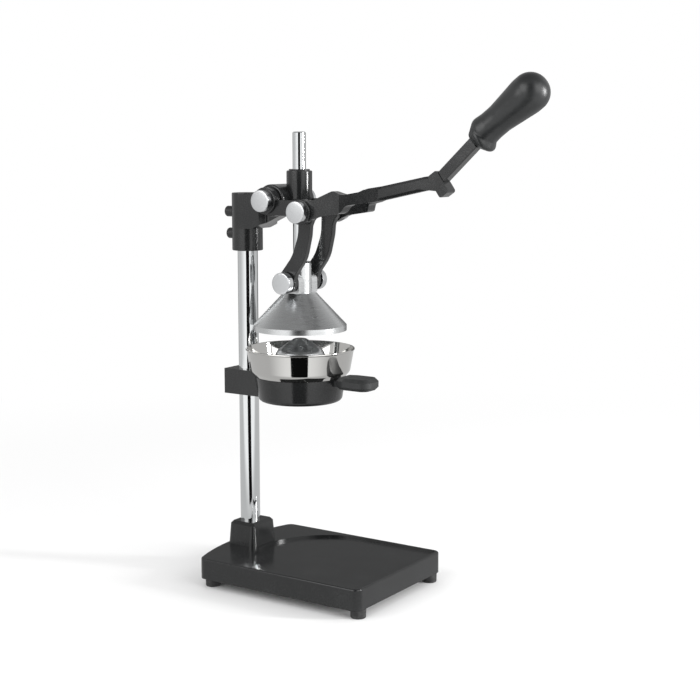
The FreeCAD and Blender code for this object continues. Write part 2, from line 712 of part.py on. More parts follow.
def make_post():
    body = new_body("post")
    length = above_fulcrum(size.post_top_rise) - post_bottom
    bevel = size.post_chamfer
    bore = size.bolt_radius + size.seat_fit
    depth = size.bolt_grip + 2
    sketch = new_sketch(body, "XZ_Plane")
    draw_outline(sketch, [(bore, 0), (size.post_radius - bevel, 0), (size.post_radius, bevel),
                          (size.post_radius, length - bevel), (size.post_radius - bevel, length),
                          (0, length), (0, depth), (bore, depth)])
    revolve(body, sketch)
    place(body, size.post_x, 0, post_bottom)
    return node(body)


def make_post_bolt():
    body = new_body("post_bolt")
    head = new_sketch(body, "XY_Plane", -size.bolt_head_height)
    across = size.bolt_head_flats / 2
    reach = across / cosine(as_size(30))
    corners = []
    for turn in range(6):
        angle = as_size(60 * turn)
        corners.append((reach * cosine(angle), reach * sine(angle)))
    draw_outline(head, corners)
    pad(body, head, size.bolt_head_height)
    shaft = new_sketch(body, "XY_Plane")
    draw_circle(shaft, 0, 0, size.bolt_radius)
    length = post_bottom - pad_bottom + size.washer_thickness + size.bolt_grip
    pad(body, shaft, length)
    place(body, size.post_x, 0, pad_bottom - size.washer_thickness)
    return node(body)


def make_post_washer():
    body = new_body("post_washer")
    sketch = new_sketch(body, "XY_Plane")
    draw_circle(sketch, 0, 0, size.washer_radius)
    draw_circle(sketch, 0, 0, size.bolt_radius + size.seat_fit)
    pad(body, sketch, size.washer_thickness)
    place(body, size.post_x, 0, pad_bottom - size.washer_thickness)
    return node(body)


make_post()
make_post_bolt()
make_post_washer()


# Head casting on top of the post

def make_head():
    body = new_body("head_casting")
    collar = new_sketch(body, "XY_Plane", above_fulcrum(size.collar_bottom_rise))
    draw_circle(collar, size.post_x, 0, size.collar_radius)
    pad(body, collar, above_fulcrum(size.collar_top_rise) - above_fulcrum(size.collar_bottom_rise))
    soften(body, "Fillet", size.collar_round, lambda edge: edge.Curve.TypeId == "Part::GeomCircle")
    add_web(body)
    cut_cheeks(body)
    barrel = new_sketch(body, "XZ_Plane")
    draw_circle(barrel, size.fulcrum_x, fulcrum_z, size.barrel_radius)
    pad(body, barrel, 2 * size.barrel_half_width, both_ways=True)
    sleeve = new_sketch(body, "XY_Plane", above_fulcrum(size.sleeve_bottom_rise))
    draw_circle(sleeve, size.press_x, 0, size.sleeve_radius)
    pad(body, sleeve, above_fulcrum(size.sleeve_top_rise) - above_fulcrum(size.sleeve_bottom_rise))
    soften(body, "Fillet", size.barrel_round, is_barrel_end)
    soften(body, "Fillet", size.sleeve_round, lambda edge: is_level_at(edge, above_fulcrum(size.sleeve_top_rise)))
    cut_head(body)
    return node(body)


def is_barrel_end(edge):
    return is_cross_at(edge, size.barrel_half_width) or is_cross_at(edge, -size.barrel_half_width)


def add_web(body):
    """Block from the collar to the guide, with a rising underside."""
    side = new_sketch(body, "XZ_Plane")
    top = above_fulcrum(size.collar_top_rise) - size.collar_round
    bottom = above_fulcrum(size.web_bottom_rise)
    toe = above_fulcrum(size.web_toe_rise)
    draw_outline(side, [(size.post_x, bottom), (size.post_x + size.web_heel, bottom, size.web_round),
                        (size.press_x - size.web_slope_end, toe), (size.press_x, toe),
                        (size.press_x, top), (size.post_x, top)])
    pad(body, side, 2 * size.cheek_half_width, both_ways=True)


def cut_cheeks(body):
    """Narrows the block to a web ahead of its cheeks."""
    for side in (-1, 1):
        plan = new_sketch(body, "XY_Plane", above_fulcrum(size.web_bottom_rise))
        outer = side * (size.cheek_half_width + size.seat_fit)
        inner = side * size.web_half_width
        front = size.post_x + size.cheek_front
        draw_outline(plan, [(front - size.cheek_round, outer), (front, inner, size.cheek_round),
                            (size.press_x, inner), (size.press_x, outer)])
        pocket(body, plan, size.collar_top_rise - size.web_bottom_rise, along_normal=True)


def cut_head(body):
    """Bores for the post, the bush, the fulcrum pin and the two rear screws."""
    post_bore = new_sketch(body, "XY_Plane", above_fulcrum(size.collar_bottom_rise))
    draw_circle(post_bore, size.post_x, 0, size.post_radius + size.seat_fit)
    pocket(body, post_bore, above_fulcrum(size.post_top_rise) - above_fulcrum(size.collar_bottom_rise), along_normal=True)
    bush_bore = new_sketch(body, "XY_Plane", above_fulcrum(size.sleeve_bottom_rise))
    draw_circle(bush_bore, size.press_x, 0, size.bush_radius + size.seat_fit)
    pocket(body, bush_bore, above_fulcrum(size.sleeve_top_rise) - above_fulcrum(size.sleeve_bottom_rise), along_normal=True)
    pin_bore = new_sketch(body, "XZ_Plane")
    draw_circle(pin_bore, size.fulcrum_x, fulcrum_z, size.fulcrum_pin_radius + size.running_fit)
    pocket(body, pin_bore, 2 * size.barrel_half_width, both_ways=True)
    for height in (above_fulcrum(size.upper_screw_rise), above_fulcrum(size.lower_screw_rise)):
        screw_bore = new_sketch(body, "YZ_Plane", size.post_x - size.collar_radius - 1)
        draw_circle(screw_bore, 0, height, size.grub_radius + size.seat_fit)
        pocket(body, screw_bore, size.collar_radius - size.post_radius + 2, along_normal=True)


def make_guide_bush():
    body = new_body("guide_bush")
    bore = size.rod_radius + size.running_fit
    length = above_fulcrum(size.sleeve_top_rise) - above_fulcrum(size.sleeve_bottom_rise)
    flange = size.bush_flange_height
    sketch = new_sketch(body, "XZ_Plane")
    draw_outline(sketch, [(bore, -length), (size.bush_radius, -length), (size.bush_radius, 0),
                          (size.bush_flange_radius, 0), (size.bush_flange_radius, flange),
                          (bore, flange)])
    revolve(body, sketch)
    place(body, size.press_x, 0, above_fulcrum(size.sleeve_top_rise))
    return node(body)


def make_rear_screw(label, height, back, head):
    """A socket-head screw along X whose head bears on the casting behind the post."""
    body = new_body(label)
    tip = back - size.post_radius
    sketch = new_sketch(body, "XZ_Plane")
    draw_outline(sketch, [(0, -tip), (size.grub_radius, -tip), (size.grub_radius, 0),
                          (size.grub_head_radius, 0),
                          (size.grub_head_radius, head, size.grub_head_round),
                          (size.grub_socket_radius, head),
                          (size.grub_socket_radius, head - size.grub_socket_depth),
                          (0, head - size.grub_socket_depth)])
    revolve(body, sketch)
    place(body, size.post_x - back, 0, height, (0, -1, 0), 90)
    return node(body)


make_head()
make_guide_bush()
make_rear_screw("collar_screw_upper", above_fulcrum(size.upper_screw_rise), size.collar_radius,
                size.upper_screw_head)
make_rear_screw("collar_screw_lower", above_fulcrum(size.lower_screw_rise), size.collar_radius,
                size.lower_screw_head)


# Lever: fork arms, beam and elbow in one casting

fork_bottom = size.link_z - 2 * size.fulcrum_eye_radius
fork_height = 6 * size.fulcrum_eye_radius


def make_lever():
    body = new_body("lever_casting")
    add_arm_profile(body)
    cut_fork_slot(body)
    cut_fork_sides(body)
    soften(body, "Chamfer", size.beam_chamfer, is_beam_edge)
    add_arm_bosses(body)
    add_elbow(body)
    bore_lever(body)
    return node(body)


def add_arm_profile(body):
    """Side view of the arms and the beam, over the fork's whole width."""
    side = new_sketch(body, "XZ_Plane")
    heel = above_link(size.arm_heel_rise)
    chin = size.link_z - size.link_eye_radius
    belly = above_link(size.belly_corner_rise)
    top = above_link(size.arm_top_rise)
    front = size.beam_front_x
    rear = size.beam_rear_x
    draw_outline(side, [
        (size.fulcrum_x, heel), (size.link_x - size.chin_back, heel, size.arm_bend),
        (size.link_x, chin, size.arm_bend), (size.throat_x, above_link(size.throat_rise), size.arm_bend),
        (size.belly_x, belly, size.arm_bend), (size.belly_x + size.belly_length, belly, size.step_bend),
        (size.step_x, above_link(size.step_rise), size.step_bend),
        (rear, above_link(size.beam_rear_bottom_rise), size.beam_bend),
        (front, above_link(size.beam_front_bottom_rise)),
        (size.elbow_x, above_link(size.elbow_rise) - size.beam_half_width),
        (size.elbow_x, above_link(size.elbow_rise) + size.beam_half_width),
        (front, above_link(size.beam_front_top_rise), size.beam_bend),
        (rear, above_link(size.beam_rear_top_rise), size.arm_bend),
        (size.shoulder_x, above_link(size.shoulder_rise), size.step_bend),
        (size.dip_x, above_link(size.dip_rise), size.step_bend),
        (size.hump_x, above_link(size.hump_rise), size.step_bend),
        (size.arm_rise_x, top, size.beam_bend), (size.fulcrum_x, top),
    ])
    pad(body, side, 2 * size.arm_outer, both_ways=True)


def cut_fork_slot(body):
    """The gap between the arms, closing to a rounded root."""
    slot = new_sketch(body, "XY_Plane", fork_bottom)
    rear = size.fulcrum_x - 2 * size.fulcrum_eye_radius
    bend = size.fork_end_x - size.fork_bend_back
    root = size.fork_root_radius
    draw_outline(slot, [(rear, -size.arm_inner), (bend, -size.arm_inner, size.fork_bend),
                        (size.fork_root_x, -root, root), (size.fork_root_x, root, root),
                        (bend, size.arm_inner, size.fork_bend), (rear, size.arm_inner)])
    pocket(body, slot, fork_height, along_normal=True)


def cut_fork_sides(body):
    """Both sides taper from the arms to the beam."""
    front = size.elbow_x + size.elbow_half_height
    for side in (-1, 1):
        taper = new_sketch(body, "XY_Plane", fork_bottom)
        inner = side * size.beam_half_width
        outer = side * (size.arm_outer + size.fork_bend_back)
        draw_outline(taper, [(size.fork_end_x - size.fork_bend_back, outer),
                             (size.fork_end_x, side * size.arm_outer, size.fork_bend),
                             (size.fork_meet_x, inner), (front, inner), (front, outer)])
        pocket(body, taper, fork_height, along_normal=True)


def is_beam_edge(edge):
    """Long edges of the beam, ahead of the fork."""
    box = edge.BoundBox
    side = near(abs(box.YMin), size.beam_half_width.value) and near(box.YLength, 0)
    return side and box.XMin > size.fork_meet_x.value - 2 and box.XLength > 20


def add_arm_bosses(body):
    """Round bosses on each arm at the fulcrum and at the links' pivot."""
    pivots = ((size.fulcrum_x, fulcrum_z, size.fulcrum_eye_radius),
              (size.link_x, size.link_z, size.link_eye_radius))
    for side in (-1, 1):
        face = -side * size.arm_inner
        for x, z, radius in pivots:
            boss = new_sketch(body, "XZ_Plane", face)
            draw_circle(boss, x, z, radius)
            feature = pad(body, boss, size.arm_boss_face - size.arm_inner)
            feature.Reversed = side > 0
            doc.recompute()
    soften(body, "Fillet", size.boss_round, is_boss_rim)


def is_boss_rim(edge):
    return is_cross_at(edge, size.arm_boss_face) or is_cross_at(edge, -size.arm_boss_face)


def add_elbow(body):
    """The socket that turns the beam up to the shank's slope."""
    block = new_sketch(body, "XZ_Plane")
    along = (cosine(size.elbow_tilt), sine(size.elbow_tilt))
    corners = []
    for forward, up in ((-1, -1), (1, -1), (1, 1), (-1, 1)):
        reach = forward * size.elbow_half_length
        rise = up * size.elbow_half_height
        corners.append((size.elbow_x + reach * along[0] - rise * along[1],
                        above_link(size.elbow_rise) + reach * along[1] + rise * along[0], size.elbow_round))
    draw_outline(block, corners)
    pad(body, block, 2 * size.elbow_half_width, both_ways=True)


def bore_lever(body):
    pin_bores = new_sketch(body, "XZ_Plane")
    draw_circle(pin_bores, size.fulcrum_x, fulcrum_z, size.fulcrum_pin_radius + size.seat_fit)
    draw_circle(pin_bores, size.link_x, size.link_z, size.link_pin_radius + size.seat_fit)
    pocket(body, pin_bores, 2 * size.arm_boss_face, both_ways=True)
    socket = new_sketch(body, "XZ_Plane")
    draw_bar(socket, size.shank_height + 2 * size.seat_fit, size.elbow_half_height * 3)
    pocket(body, socket, 2 * (size.shank_half_width + size.seat_fit), both_ways=True)


def draw_bar(sketch, height, length):
    """Side view of a bar along the shank, from its lower end."""
    ahead = (cosine(size.shank_rise), sine(size.shank_rise))
    corners = []
    for run, side in ((0, -1), (1, -1), (1, 1), (0, 1)):
        offset = side * height / 2
        corners.append((size.shank_x + run * length * ahead[0] - offset * ahead[1],
                        above_link(size.shank_foot_rise) + run * length * ahead[1] + offset * ahead[0]))
    draw_outline(sketch, corners)


make_lever()


# Shank and grip


def make_shank():
    """Square bar whose far end is cut square to the grip, with a round tang inside it."""
    body = new_body("handle_shank")
    ahead = (cosine(size.shank_rise), sine(size.shank_rise))
    axis = (cosine(size.grip_tilt), sine(size.grip_tilt))
    gap = (size.grip_x - size.shank_x, above_link(size.grip_foot_rise) - above_link(size.shank_foot_rise))
    reach = gap[0] * axis[0] + gap[1] * axis[1]
    meet = ahead[0] * axis[0] + ahead[1] * axis[1]
    skew = ahead[0] * axis[1] - ahead[1] * axis[0]
    corners = []
    for end, side in ((0, -1), (1, -1), (1, 1), (0, 1)):
        offset = side * size.shank_height / 2
        run = end * (reach - offset * skew) / meet
        corners.append((size.shank_x + run * ahead[0] - offset * ahead[1],
                        above_link(size.shank_foot_rise) + run * ahead[1] + offset * ahead[0]))
    bar = new_sketch(body, "XZ_Plane")
    draw_outline(bar, corners)
    pad(body, bar, 2 * size.shank_half_width, both_ways=True)
    soften(body, "Chamfer", size.shank_chamfer, is_shank_edge)
    tang = new_sketch(body, "XY_Plane")
    tilt_sketch(tang, size.grip_x, above_link(size.grip_foot_rise), 90 - size.grip_tilt)
    draw_circle(tang, 0, 0, size.tang_radius)
    pad(body, tang, size.tang_length)
    return node(body)


def is_shank_edge(edge):
    """Long edges of the shank."""
    return near(edge.BoundBox.YLength, 0) and edge.Length > 2 * size.shank_height.value


def tilt_sketch(sketch, x, z, angle):
    """Moves a sketch on the level plane to x, z and turns its normal forward by some degrees."""
    turn = FreeCAD.Rotation(FreeCAD.Vector(0, 1, 0), angle.value)
    sketch.AttachmentOffset = FreeCAD.Placement(FreeCAD.Vector(), turn)
    bind(sketch, "AttachmentOffset.Rotation.Angle", angle)
    bind(sketch, "AttachmentOffset.Base.x", x)
    bind(sketch, "AttachmentOffset.Base.z", z)


def make_grip():
    """Round grip with a ball-shaped tip and a guard on its lower side."""
    body = new_body("grip")
    profile = new_sketch(body, "XZ_Plane")
    bend = size.grip_bend
    draw_outline(profile, [
        (0, 0), (size.grip_end_radius, 0, size.grip_end_round),
        (size.grip_crown_radius, size.grip_crown_place, bend / 2),
        (size.grip_neck_radius, size.grip_neck_start, bend),
        (size.grip_neck_radius, size.grip_neck_end, 2 * bend),
        (size.grip_belly_radius, size.grip_belly_place, 2 * bend),
        (size.grip_belly_radius, size.grip_length, size.grip_tip_round), (0, size.grip_length)])
    revolve(body, profile)
    add_guard(body)
    bore = new_sketch(body, "XY_Plane")
    draw_circle(bore, 0, 0, size.tang_radius + size.seat_fit)
    pocket(body, bore, size.tang_length + size.side_gap, along_normal=True)
    place(body, size.grip_x, 0, above_link(size.grip_foot_rise), (0, 1, 0), 90 - size.grip_tilt)
    return node(body)


def add_guard(body):
    """A bead whose axis lies below the grip's, so that it stands out on the lower side only."""
    profile = new_sketch(body, "XZ_Plane")
    bind(profile, "AttachmentOffset.Base.x", size.guard_drop)
    draw_outline(profile, [
        (0, size.guard_foot_place), (size.guard_foot_radius, size.guard_foot_place),
        (size.guard_radius, size.guard_place, size.guard_round),
        (size.guard_back_radius, size.guard_back_place), (0, size.guard_back_place)])
    revolve(body, profile)
    soften(body, "Fillet", size.guard_blend, is_guard_crease)


def is_guard_crease(edge):
    """The curves in which the guard's bead cuts the grip."""
    crease = edge.Curve.TypeId == "Part::GeomBSplineCurve"
    return crease and edge.CenterOfMass.z > 2 * size.guard_foot_place.value


make_shank()
make_grip()


# Pins, caps and washers of the pivots

SIDES = ((1, "left"), (-1, "right"))


def make_cross_pin(label, x, z, radius, inner, outer):
    """A round pin along Y, from inner to outer."""
    pin = doc.addObject("Part::Cylinder", label)
    pin.Label = label
    bind(pin, "Radius", radius)
    bind(pin, "Height", outer - inner)
    place(pin, x, outer, z, (1, 0, 0), 90)
    return node(pin)


def place_on_side(item, side, x, y, z):
    """Puts a turned piece at a distance y from the middle, with its axis pointing outwards."""
    place(item, x, side * y, z, (-side, 0, 0), 90)


def make_cap(label, side, x, z, pin_radius):
    """A round cap on a pin's end, against the arm's boss."""
    body = new_body(label)
    bore = pin_radius + size.seat_fit
    profile = new_sketch(body, "XZ_Plane")
    draw_outline(profile, [(bore, 0), (size.cap_radius, 0),
                           (size.cap_radius, size.cap_height, size.cap_round), (0, size.cap_height),
                           (0, size.cap_bore_depth), (bore, size.cap_bore_depth)])
    revolve(body, profile)
    place_on_side(body, side, x, size.arm_boss_face, z)
    return node(body)


def make_spacer(label, side, x, z, pin_radius, inside):
    """A washer between a moving face and the inside of a fork arm."""
    body = new_body(label)
    ring = new_sketch(body, "XY_Plane")
    draw_circle(ring, 0, 0, size.spacer_radius)
    draw_circle(ring, 0, 0, pin_radius + size.seat_fit)
    pad(body, ring, size.arm_inner - inside - size.side_gap)
    place_on_side(body, side, x, inside + size.side_gap, z)
    return node(body)


def make_saddle_cap(label, side):
    """A cap with a neck, on the end of the lower pin."""
    body = new_body(label)
    bore = size.link_pin_radius + size.seat_fit
    neck = size.saddle_neck - size.side_gap
    top = neck + size.saddle_cap_height
    depth = neck + size.cap_bore_depth
    profile = new_sketch(body, "XZ_Plane")
    draw_outline(profile, [(bore, 0), (size.saddle_neck_radius, 0), (size.saddle_neck_radius, neck),
                           (size.cap_radius, neck), (size.cap_radius, top, size.cap_round),
                           (0, top), (0, depth), (bore, depth)])
    revolve(body, profile)
    place_on_side(body, side, size.press_x, size.link_outer + size.side_gap, size.saddle_z)
    return node(body)


def make_pins():
    fulcrum = (size.fulcrum_x, fulcrum_z, size.fulcrum_pin_radius)
    link = (size.link_x, size.link_z, size.link_pin_radius)
    reach = size.arm_boss_face + size.cap_bore_depth
    make_cross_pin("fulcrum_pin", *fulcrum, -reach, reach)
    saddle_reach = size.link_outer + size.saddle_neck + size.cap_bore_depth
    make_cross_pin("saddle_pin", size.press_x, size.saddle_z, size.link_pin_radius,
                   -saddle_reach, saddle_reach)
    for side, name in SIDES:
        inner, outer = (size.link_inner, reach) if side > 0 else (-reach, -size.link_inner)
        make_cross_pin(f"link_pin_{name}", *link, inner, outer)
        make_cap(f"fulcrum_cap_{name}", side, *fulcrum)
        make_cap(f"link_cap_{name}", side, *link)
        make_spacer(f"fulcrum_washer_{name}", side, *fulcrum, size.barrel_half_width)
        make_spacer(f"link_washer_{name}", side, *link, size.link_outer)
        make_saddle_cap(f"saddle_cap_{name}", side)


make_pins()


# Curved links


def make_link(label, side):
    """A curved bar with a round end at each pivot, beside the middle plane."""
    body = new_body(label)
    face = size.link_inner if side < 0 else -size.link_outer
    thickness = size.link_outer - size.link_inner
    wide = size.link_half_width
    bar = new_sketch(body, "XZ_Plane", face)
    draw_outline(bar, [
        (size.link_x - wide - 2, size.link_z), (size.link_knee_x - wide, size.link_knee_z, size.link_curve),
        (size.link_bend_x - wide, size.link_bend_z, size.link_curve),
        (size.press_x - 10.5, size.saddle_z + 9), (size.press_x + 9, size.saddle_z - 4),
        (size.press_x + 14, size.saddle_z + 11.5),
        (size.link_bend_x + wide + 2.5, size.link_bend_z - 3, size.link_curve),
        (size.link_knee_x + wide, size.link_knee_z, size.link_curve),
        (size.link_knee_x + wide + 1, size.link_knee_z + 12, 10), (size.link_x + 12.5, size.link_z - 4),
    ])
    pad(body, bar, thickness)
    ends = new_sketch(body, "XZ_Plane", face)
    draw_circle(ends, size.link_x, size.link_z, size.link_end_radius)
    draw_circle(ends, size.press_x, size.saddle_z, size.link_foot_radius)
    pad(body, ends, thickness)
    soften(body, "Fillet", size.link_edge, is_link_edge)
    holes = new_sketch(body, "XZ_Plane", face)
    draw_circle(holes, size.link_x, size.link_z, size.link_pin_radius + size.running_fit)
    draw_circle(holes, size.press_x, size.saddle_z, size.link_pin_radius + size.link_slack)
    pocket(body, holes, thickness, along_normal=True)
    return node(body)


def is_link_edge(edge):
    """Edges round the link's two flat faces."""
    return near(edge.BoundBox.YLength, 0)


make_link("link_left", 1)
make_link("link_right", -1)


# Guide rod, hub and cone

cone_top = size.hub_bottom
cone_slope_foot = size.cone_rim_bottom + size.cone_rim_height


def make_guide_rod():
    body = new_body("guide_rod")
    length = above_fulcrum(size.rod_top_rise) - size.hub_top + size.hub_bore_depth
    bevel = size.rod_chamfer
    profile = new_sketch(body, "XZ_Plane")
    draw_outline(profile, [(0, 0), (size.rod_radius, 0), (size.rod_radius, length - bevel),
                           (size.rod_radius - bevel, length), (0, length)])
    revolve(body, profile)
    place(body, size.press_x, 0, size.hub_top - size.hub_bore_depth)
    return node(body)


def make_hub():
    """Round hub on the cone, with a round-topped block across it for the links' pin."""
    body = new_body("cone_hub")
    column = new_sketch(body, "XY_Plane", size.hub_bottom)
    draw_circle(column, size.press_x, 0, size.hub_radius)
    pad(body, column, size.hub_top - size.hub_bottom)
    soften(body, "Chamfer", size.rod_chamfer, lambda edge: is_level_at(edge, size.hub_top))
    width = 2 * size.saddle_half_width
    round_top = new_sketch(body, "XZ_Plane")
    draw_circle(round_top, size.press_x, size.saddle_z, size.saddle_radius)
    pad(body, round_top, width, both_ways=True)
    block = new_sketch(body, "XZ_Plane")
    left, right = size.press_x - size.saddle_radius, size.press_x + size.saddle_radius
    draw_outline(block, [(left, size.hub_bottom), (right, size.hub_bottom),
                         (right, size.saddle_z), (left, size.saddle_z)])
    pad(body, block, width, both_ways=True)
    bore_hub(body, width)
    return node(body)


def bore_hub(body, width):
    rod_bore = new_sketch(body, "XY_Plane", size.hub_top)
    draw_circle(rod_bore, size.press_x, 0, size.rod_radius + size.seat_fit)
    pocket(body, rod_bore, size.hub_bore_depth)
    pin_bore = new_sketch(body, "XZ_Plane")
    draw_circle(pin_bore, size.press_x, size.saddle_z, size.link_pin_radius + size.seat_fit)
    pocket(body, pin_bore, width, both_ways=True)
    screw_bore = new_sketch(body, "XY_Plane", size.hub_bottom)
    draw_circle(screw_bore, size.press_x, 0, size.cone_screw_radius + size.seat_fit)
    pocket(body, screw_bore, size.cone_screw_length - size.cone_wall, along_normal=True)


def make_cone():
    body = new_body("press_cone")
    wall = size.cone_wall
    slope_foot = cone_slope_foot - cone_top
    bore = size.cone_screw_radius + size.seat_fit
    profile = new_sketch(body, "XZ_Plane")
    draw_outline(profile, [
        (bore, 0), (size.cone_top_radius, 0), (size.cone_shoulder_radius, -size.cone_shoulder_drop),
        (size.cone_rim_radius, slope_foot), (size.cone_rim_radius, size.cone_rim_bottom - cone_top),
        (size.cone_rim_radius - wall, size.cone_rim_bottom - cone_top),
        (size.cone_rim_radius - wall, slope_foot - wall * 0.4),
        (size.cone_shoulder_radius - wall * 0.6, -size.cone_shoulder_drop - wall),
        (size.cone_top_radius - wall, -wall), (bore, -wall)])
    revolve(body, profile)
    place(body, size.press_x, 0, cone_top)
    return node(body)


def make_cone_screw():
    """Screw from inside the cone into the hub."""
    body = new_body("cone_screw")
    profile = new_sketch(body, "XZ_Plane")
    head = size.cone_screw_head_height
    draw_outline(profile, [(0, -head), (size.cone_screw_head_radius - 2, -head),
                           (size.cone_screw_head_radius, 1 - head), (size.cone_screw_head_radius, 0),
                           (size.cone_screw_radius, 0),
                           (size.cone_screw_radius, size.cone_screw_length - 1),
                           (0, size.cone_screw_length - 1)])
    revolve(body, profile)
    place(body, size.press_x, 0, cone_top - size.cone_wall)
    return node(body)


make_guide_rod()
make_hub()
make_cone()
make_cone_screw()


# Holder on the post


def make_holder():
    """Ring that carries the cup, and the arm that clamps it to the post."""
    body = new_body("cup_holder")
    disc = new_sketch(body, "XY_Plane", size.ring_bottom)
    draw_circle(disc, size.press_x, 0, size.ring_bottom_radius)
    height = size.ring_top - size.ring_bottom
    lean = arctangent((size.ring_top_radius - size.ring_bottom_radius) / height)
    pad(body, disc, height, lean=lean)
    soften(body, "Fillet", size.ring_round, lambda edge: is_level_at(edge, size.ring_bottom))
    add_holder_arm(body)
    cut_holder(body)
    return node(body)


def add_holder_arm(body):
    plan = new_sketch(body, "XY_Plane", size.arm_block_bottom)
    back = size.post_x - size.arm_block_back
    side = size.arm_block_half_width
    front = size.press_x - size.ring_bore
    draw_outline(plan, [(back, -side), (front, -side), (front, side), (back, side)])
    pad(body, plan, size.arm_block_top - size.arm_block_bottom)


def cut_holder(body):
    """Opening for the cup, notch for its handle, and bores for the post and the screw."""
    height = size.ring_top - size.ring_bottom
    over = size.arm_block_top
    opening = new_sketch(body, "XY_Plane", over)
    draw_circle(opening, size.press_x, 0, size.ring_bore)
    pocket(body, opening, over - size.ring_bottom)
    mouth = new_sketch(body, "XY_Plane", over)
    draw_circle(mouth, size.press_x, 0, size.spigot_radius + size.spigot_gap)
    pocket(body, mouth, over - size.ring_top + size.ring_step_depth)
    lip = new_sketch(body, "XY_Plane", over)
    draw_circle(lip, size.press_x, 0, size.ring_top_radius + size.cup_turn_radius / 3)
    pocket(body, lip, over - size.ring_top)
    notch = new_sketch(body, "YZ_Plane", size.press_x + size.ring_bore - 1)
    side = size.notch_half_width
    floor = size.ring_top - size.notch_depth
    draw_outline(notch, [(-side, floor), (side, floor), (side, over), (-side, over)])
    pocket(body, notch, size.ring_top_radius - size.ring_bore + 2, along_normal=True)
    post_bore = new_sketch(body, "XY_Plane", over)
    draw_circle(post_bore, size.post_x, 0, size.post_radius + size.seat_fit)
    pocket(body, post_bore, over - size.arm_block_bottom)
    screw_bore = new_sketch(body, "YZ_Plane", size.post_x - size.arm_block_back)
    draw_circle(screw_bore, 0, size.holder_screw_z, size.grub_radius + size.seat_fit)
    pocket(body, screw_bore, size.arm_block_back - size.post_radius, along_normal=True)


make_holder()
make_rear_screw("holder_screw", size.holder_screw_z, size.arm_block_back, size.holder_screw_head)


# Cup, strainer and paddle handle

cup_floor = size.ring_top - size.spigot_depth


def make_cup():
    """Bowl with a spigot in the ring, a funnel below and a spout."""
    body = new_body("cup")
    wall = size.cup_wall
    seat = size.ring_top
    inner_side = size.cup_side_radius - wall
    profile = new_sketch(body, "XZ_Plane")
    draw_outline(profile, [
        (size.cup_spout_radius, size.cup_spout_bottom), (size.cup_spout_radius, size.cup_spout_top),
        (size.cup_funnel_radius, cup_floor), (size.spigot_radius, cup_floor),
        (size.spigot_radius, seat), (size.cup_shoulder_radius, seat),
        (size.cup_side_radius, size.cup_side_z, size.cup_turn_radius),
        (size.cup_rim_radius, size.cup_rim_z - 1.2), (size.cup_rim_radius - 0.5, size.cup_rim_z),
        (size.cup_rim_radius - wall, size.cup_rim_z),
        (inner_side, size.cup_side_z + 0.5, size.cup_turn_radius - wall),
        (size.cup_shoulder_radius - wall, seat + wall), (size.spigot_radius - wall, seat + wall),
        (size.spigot_radius - wall, cup_floor + wall),
        (size.cup_funnel_radius - 0.4, cup_floor + wall),
        (size.cup_spout_radius - wall, size.cup_spout_top + 0.8),
        (size.cup_spout_radius - wall, size.cup_spout_bottom)])
    revolve(body, profile)
    hole = new_sketch(body, "YZ_Plane", size.spigot_radius - 2 * wall)
    draw_circle(hole, 0, paddle_screw_z, size.paddle_screw_radius + size.seat_fit)
    pocket(body, hole, 3 * wall, along_normal=True)
    place(body, size.press_x)
    return node(body)


neck_floor = size.ring_top - size.notch_depth + size.paddle_neck_gap
neck_top = size.ring_top - size.paddle_neck_gap
paddle_screw_z = (neck_floor + neck_top) / 2


def make_paddle():
    """Flat paddle in front of the cup, with a neck through the ring's notch."""
    body = new_body("cup_handle")
    side = size.paddle_half_width
    plan = new_sketch(body, "XY_Plane", size.paddle_bottom)
    draw_outline(plan, [(size.paddle_rear, -side * 0.75, 5), (size.paddle_rear + 12, -side, 12),
                        (size.paddle_front, -side, size.paddle_corner),
                        (size.paddle_front, side, size.paddle_corner),
                        (size.paddle_rear + 12, side, 12), (size.paddle_rear, side * 0.75, 5)])
    pad(body, plan, size.paddle_top - size.paddle_bottom)
    soften(body, "Chamfer", size.paddle_chamfer, is_paddle_rim)
    neck = new_sketch(body, "XY_Plane", neck_floor)
    wide = size.paddle_neck_half_width
    start = size.spigot_radius * 0.9
    draw_outline(neck, [(start, -wide), (size.paddle_rear + 5, -wide), (size.paddle_rear + 5, wide),
                        (start, wide)])
    pad(body, neck, neck_top - neck_floor)
    relief = new_sketch(body, "XY_Plane", neck_floor - 1)
    draw_circle(relief, 0, 0, size.spigot_radius)
    pocket(body, relief, neck_top - neck_floor + 2, along_normal=True)
    bore = new_sketch(body, "YZ_Plane", size.spigot_radius - 2)
    draw_circle(bore, 0, paddle_screw_z, size.paddle_screw_radius + size.seat_fit)
    pocket(body, bore, size.paddle_screw_length + 2, along_normal=True)
    place(body, size.press_x)
    return node(body)


def is_paddle_rim(edge):
    return is_level_at(edge, size.paddle_top) or is_level_at(edge, size.paddle_bottom)


def make_paddle_screw():
    """Screw from inside the cup, along X."""
    body = new_body("cup_handle_screw")
    profile = new_sketch(body, "XZ_Plane")
    head = size.paddle_screw_head_height
    draw_outline(profile, [(0, -head), (size.paddle_screw_head_radius - 0.6, -head),
                           (size.paddle_screw_head_radius, 0.6 - head),
                           (size.paddle_screw_head_radius, 0), (size.paddle_screw_radius, 0),
                           (size.paddle_screw_radius, size.paddle_screw_length),
                           (0, size.paddle_screw_length)])
    revolve(body, profile)
    seat = size.spigot_radius - size.cup_wall
    sag = size.paddle_screw_head_radius * size.paddle_screw_head_radius / (2 * seat)
    place(body, size.press_x + seat - sag - size.side_gap, 0, paddle_screw_z, (0, 1, 0), 90)
    return node(body)


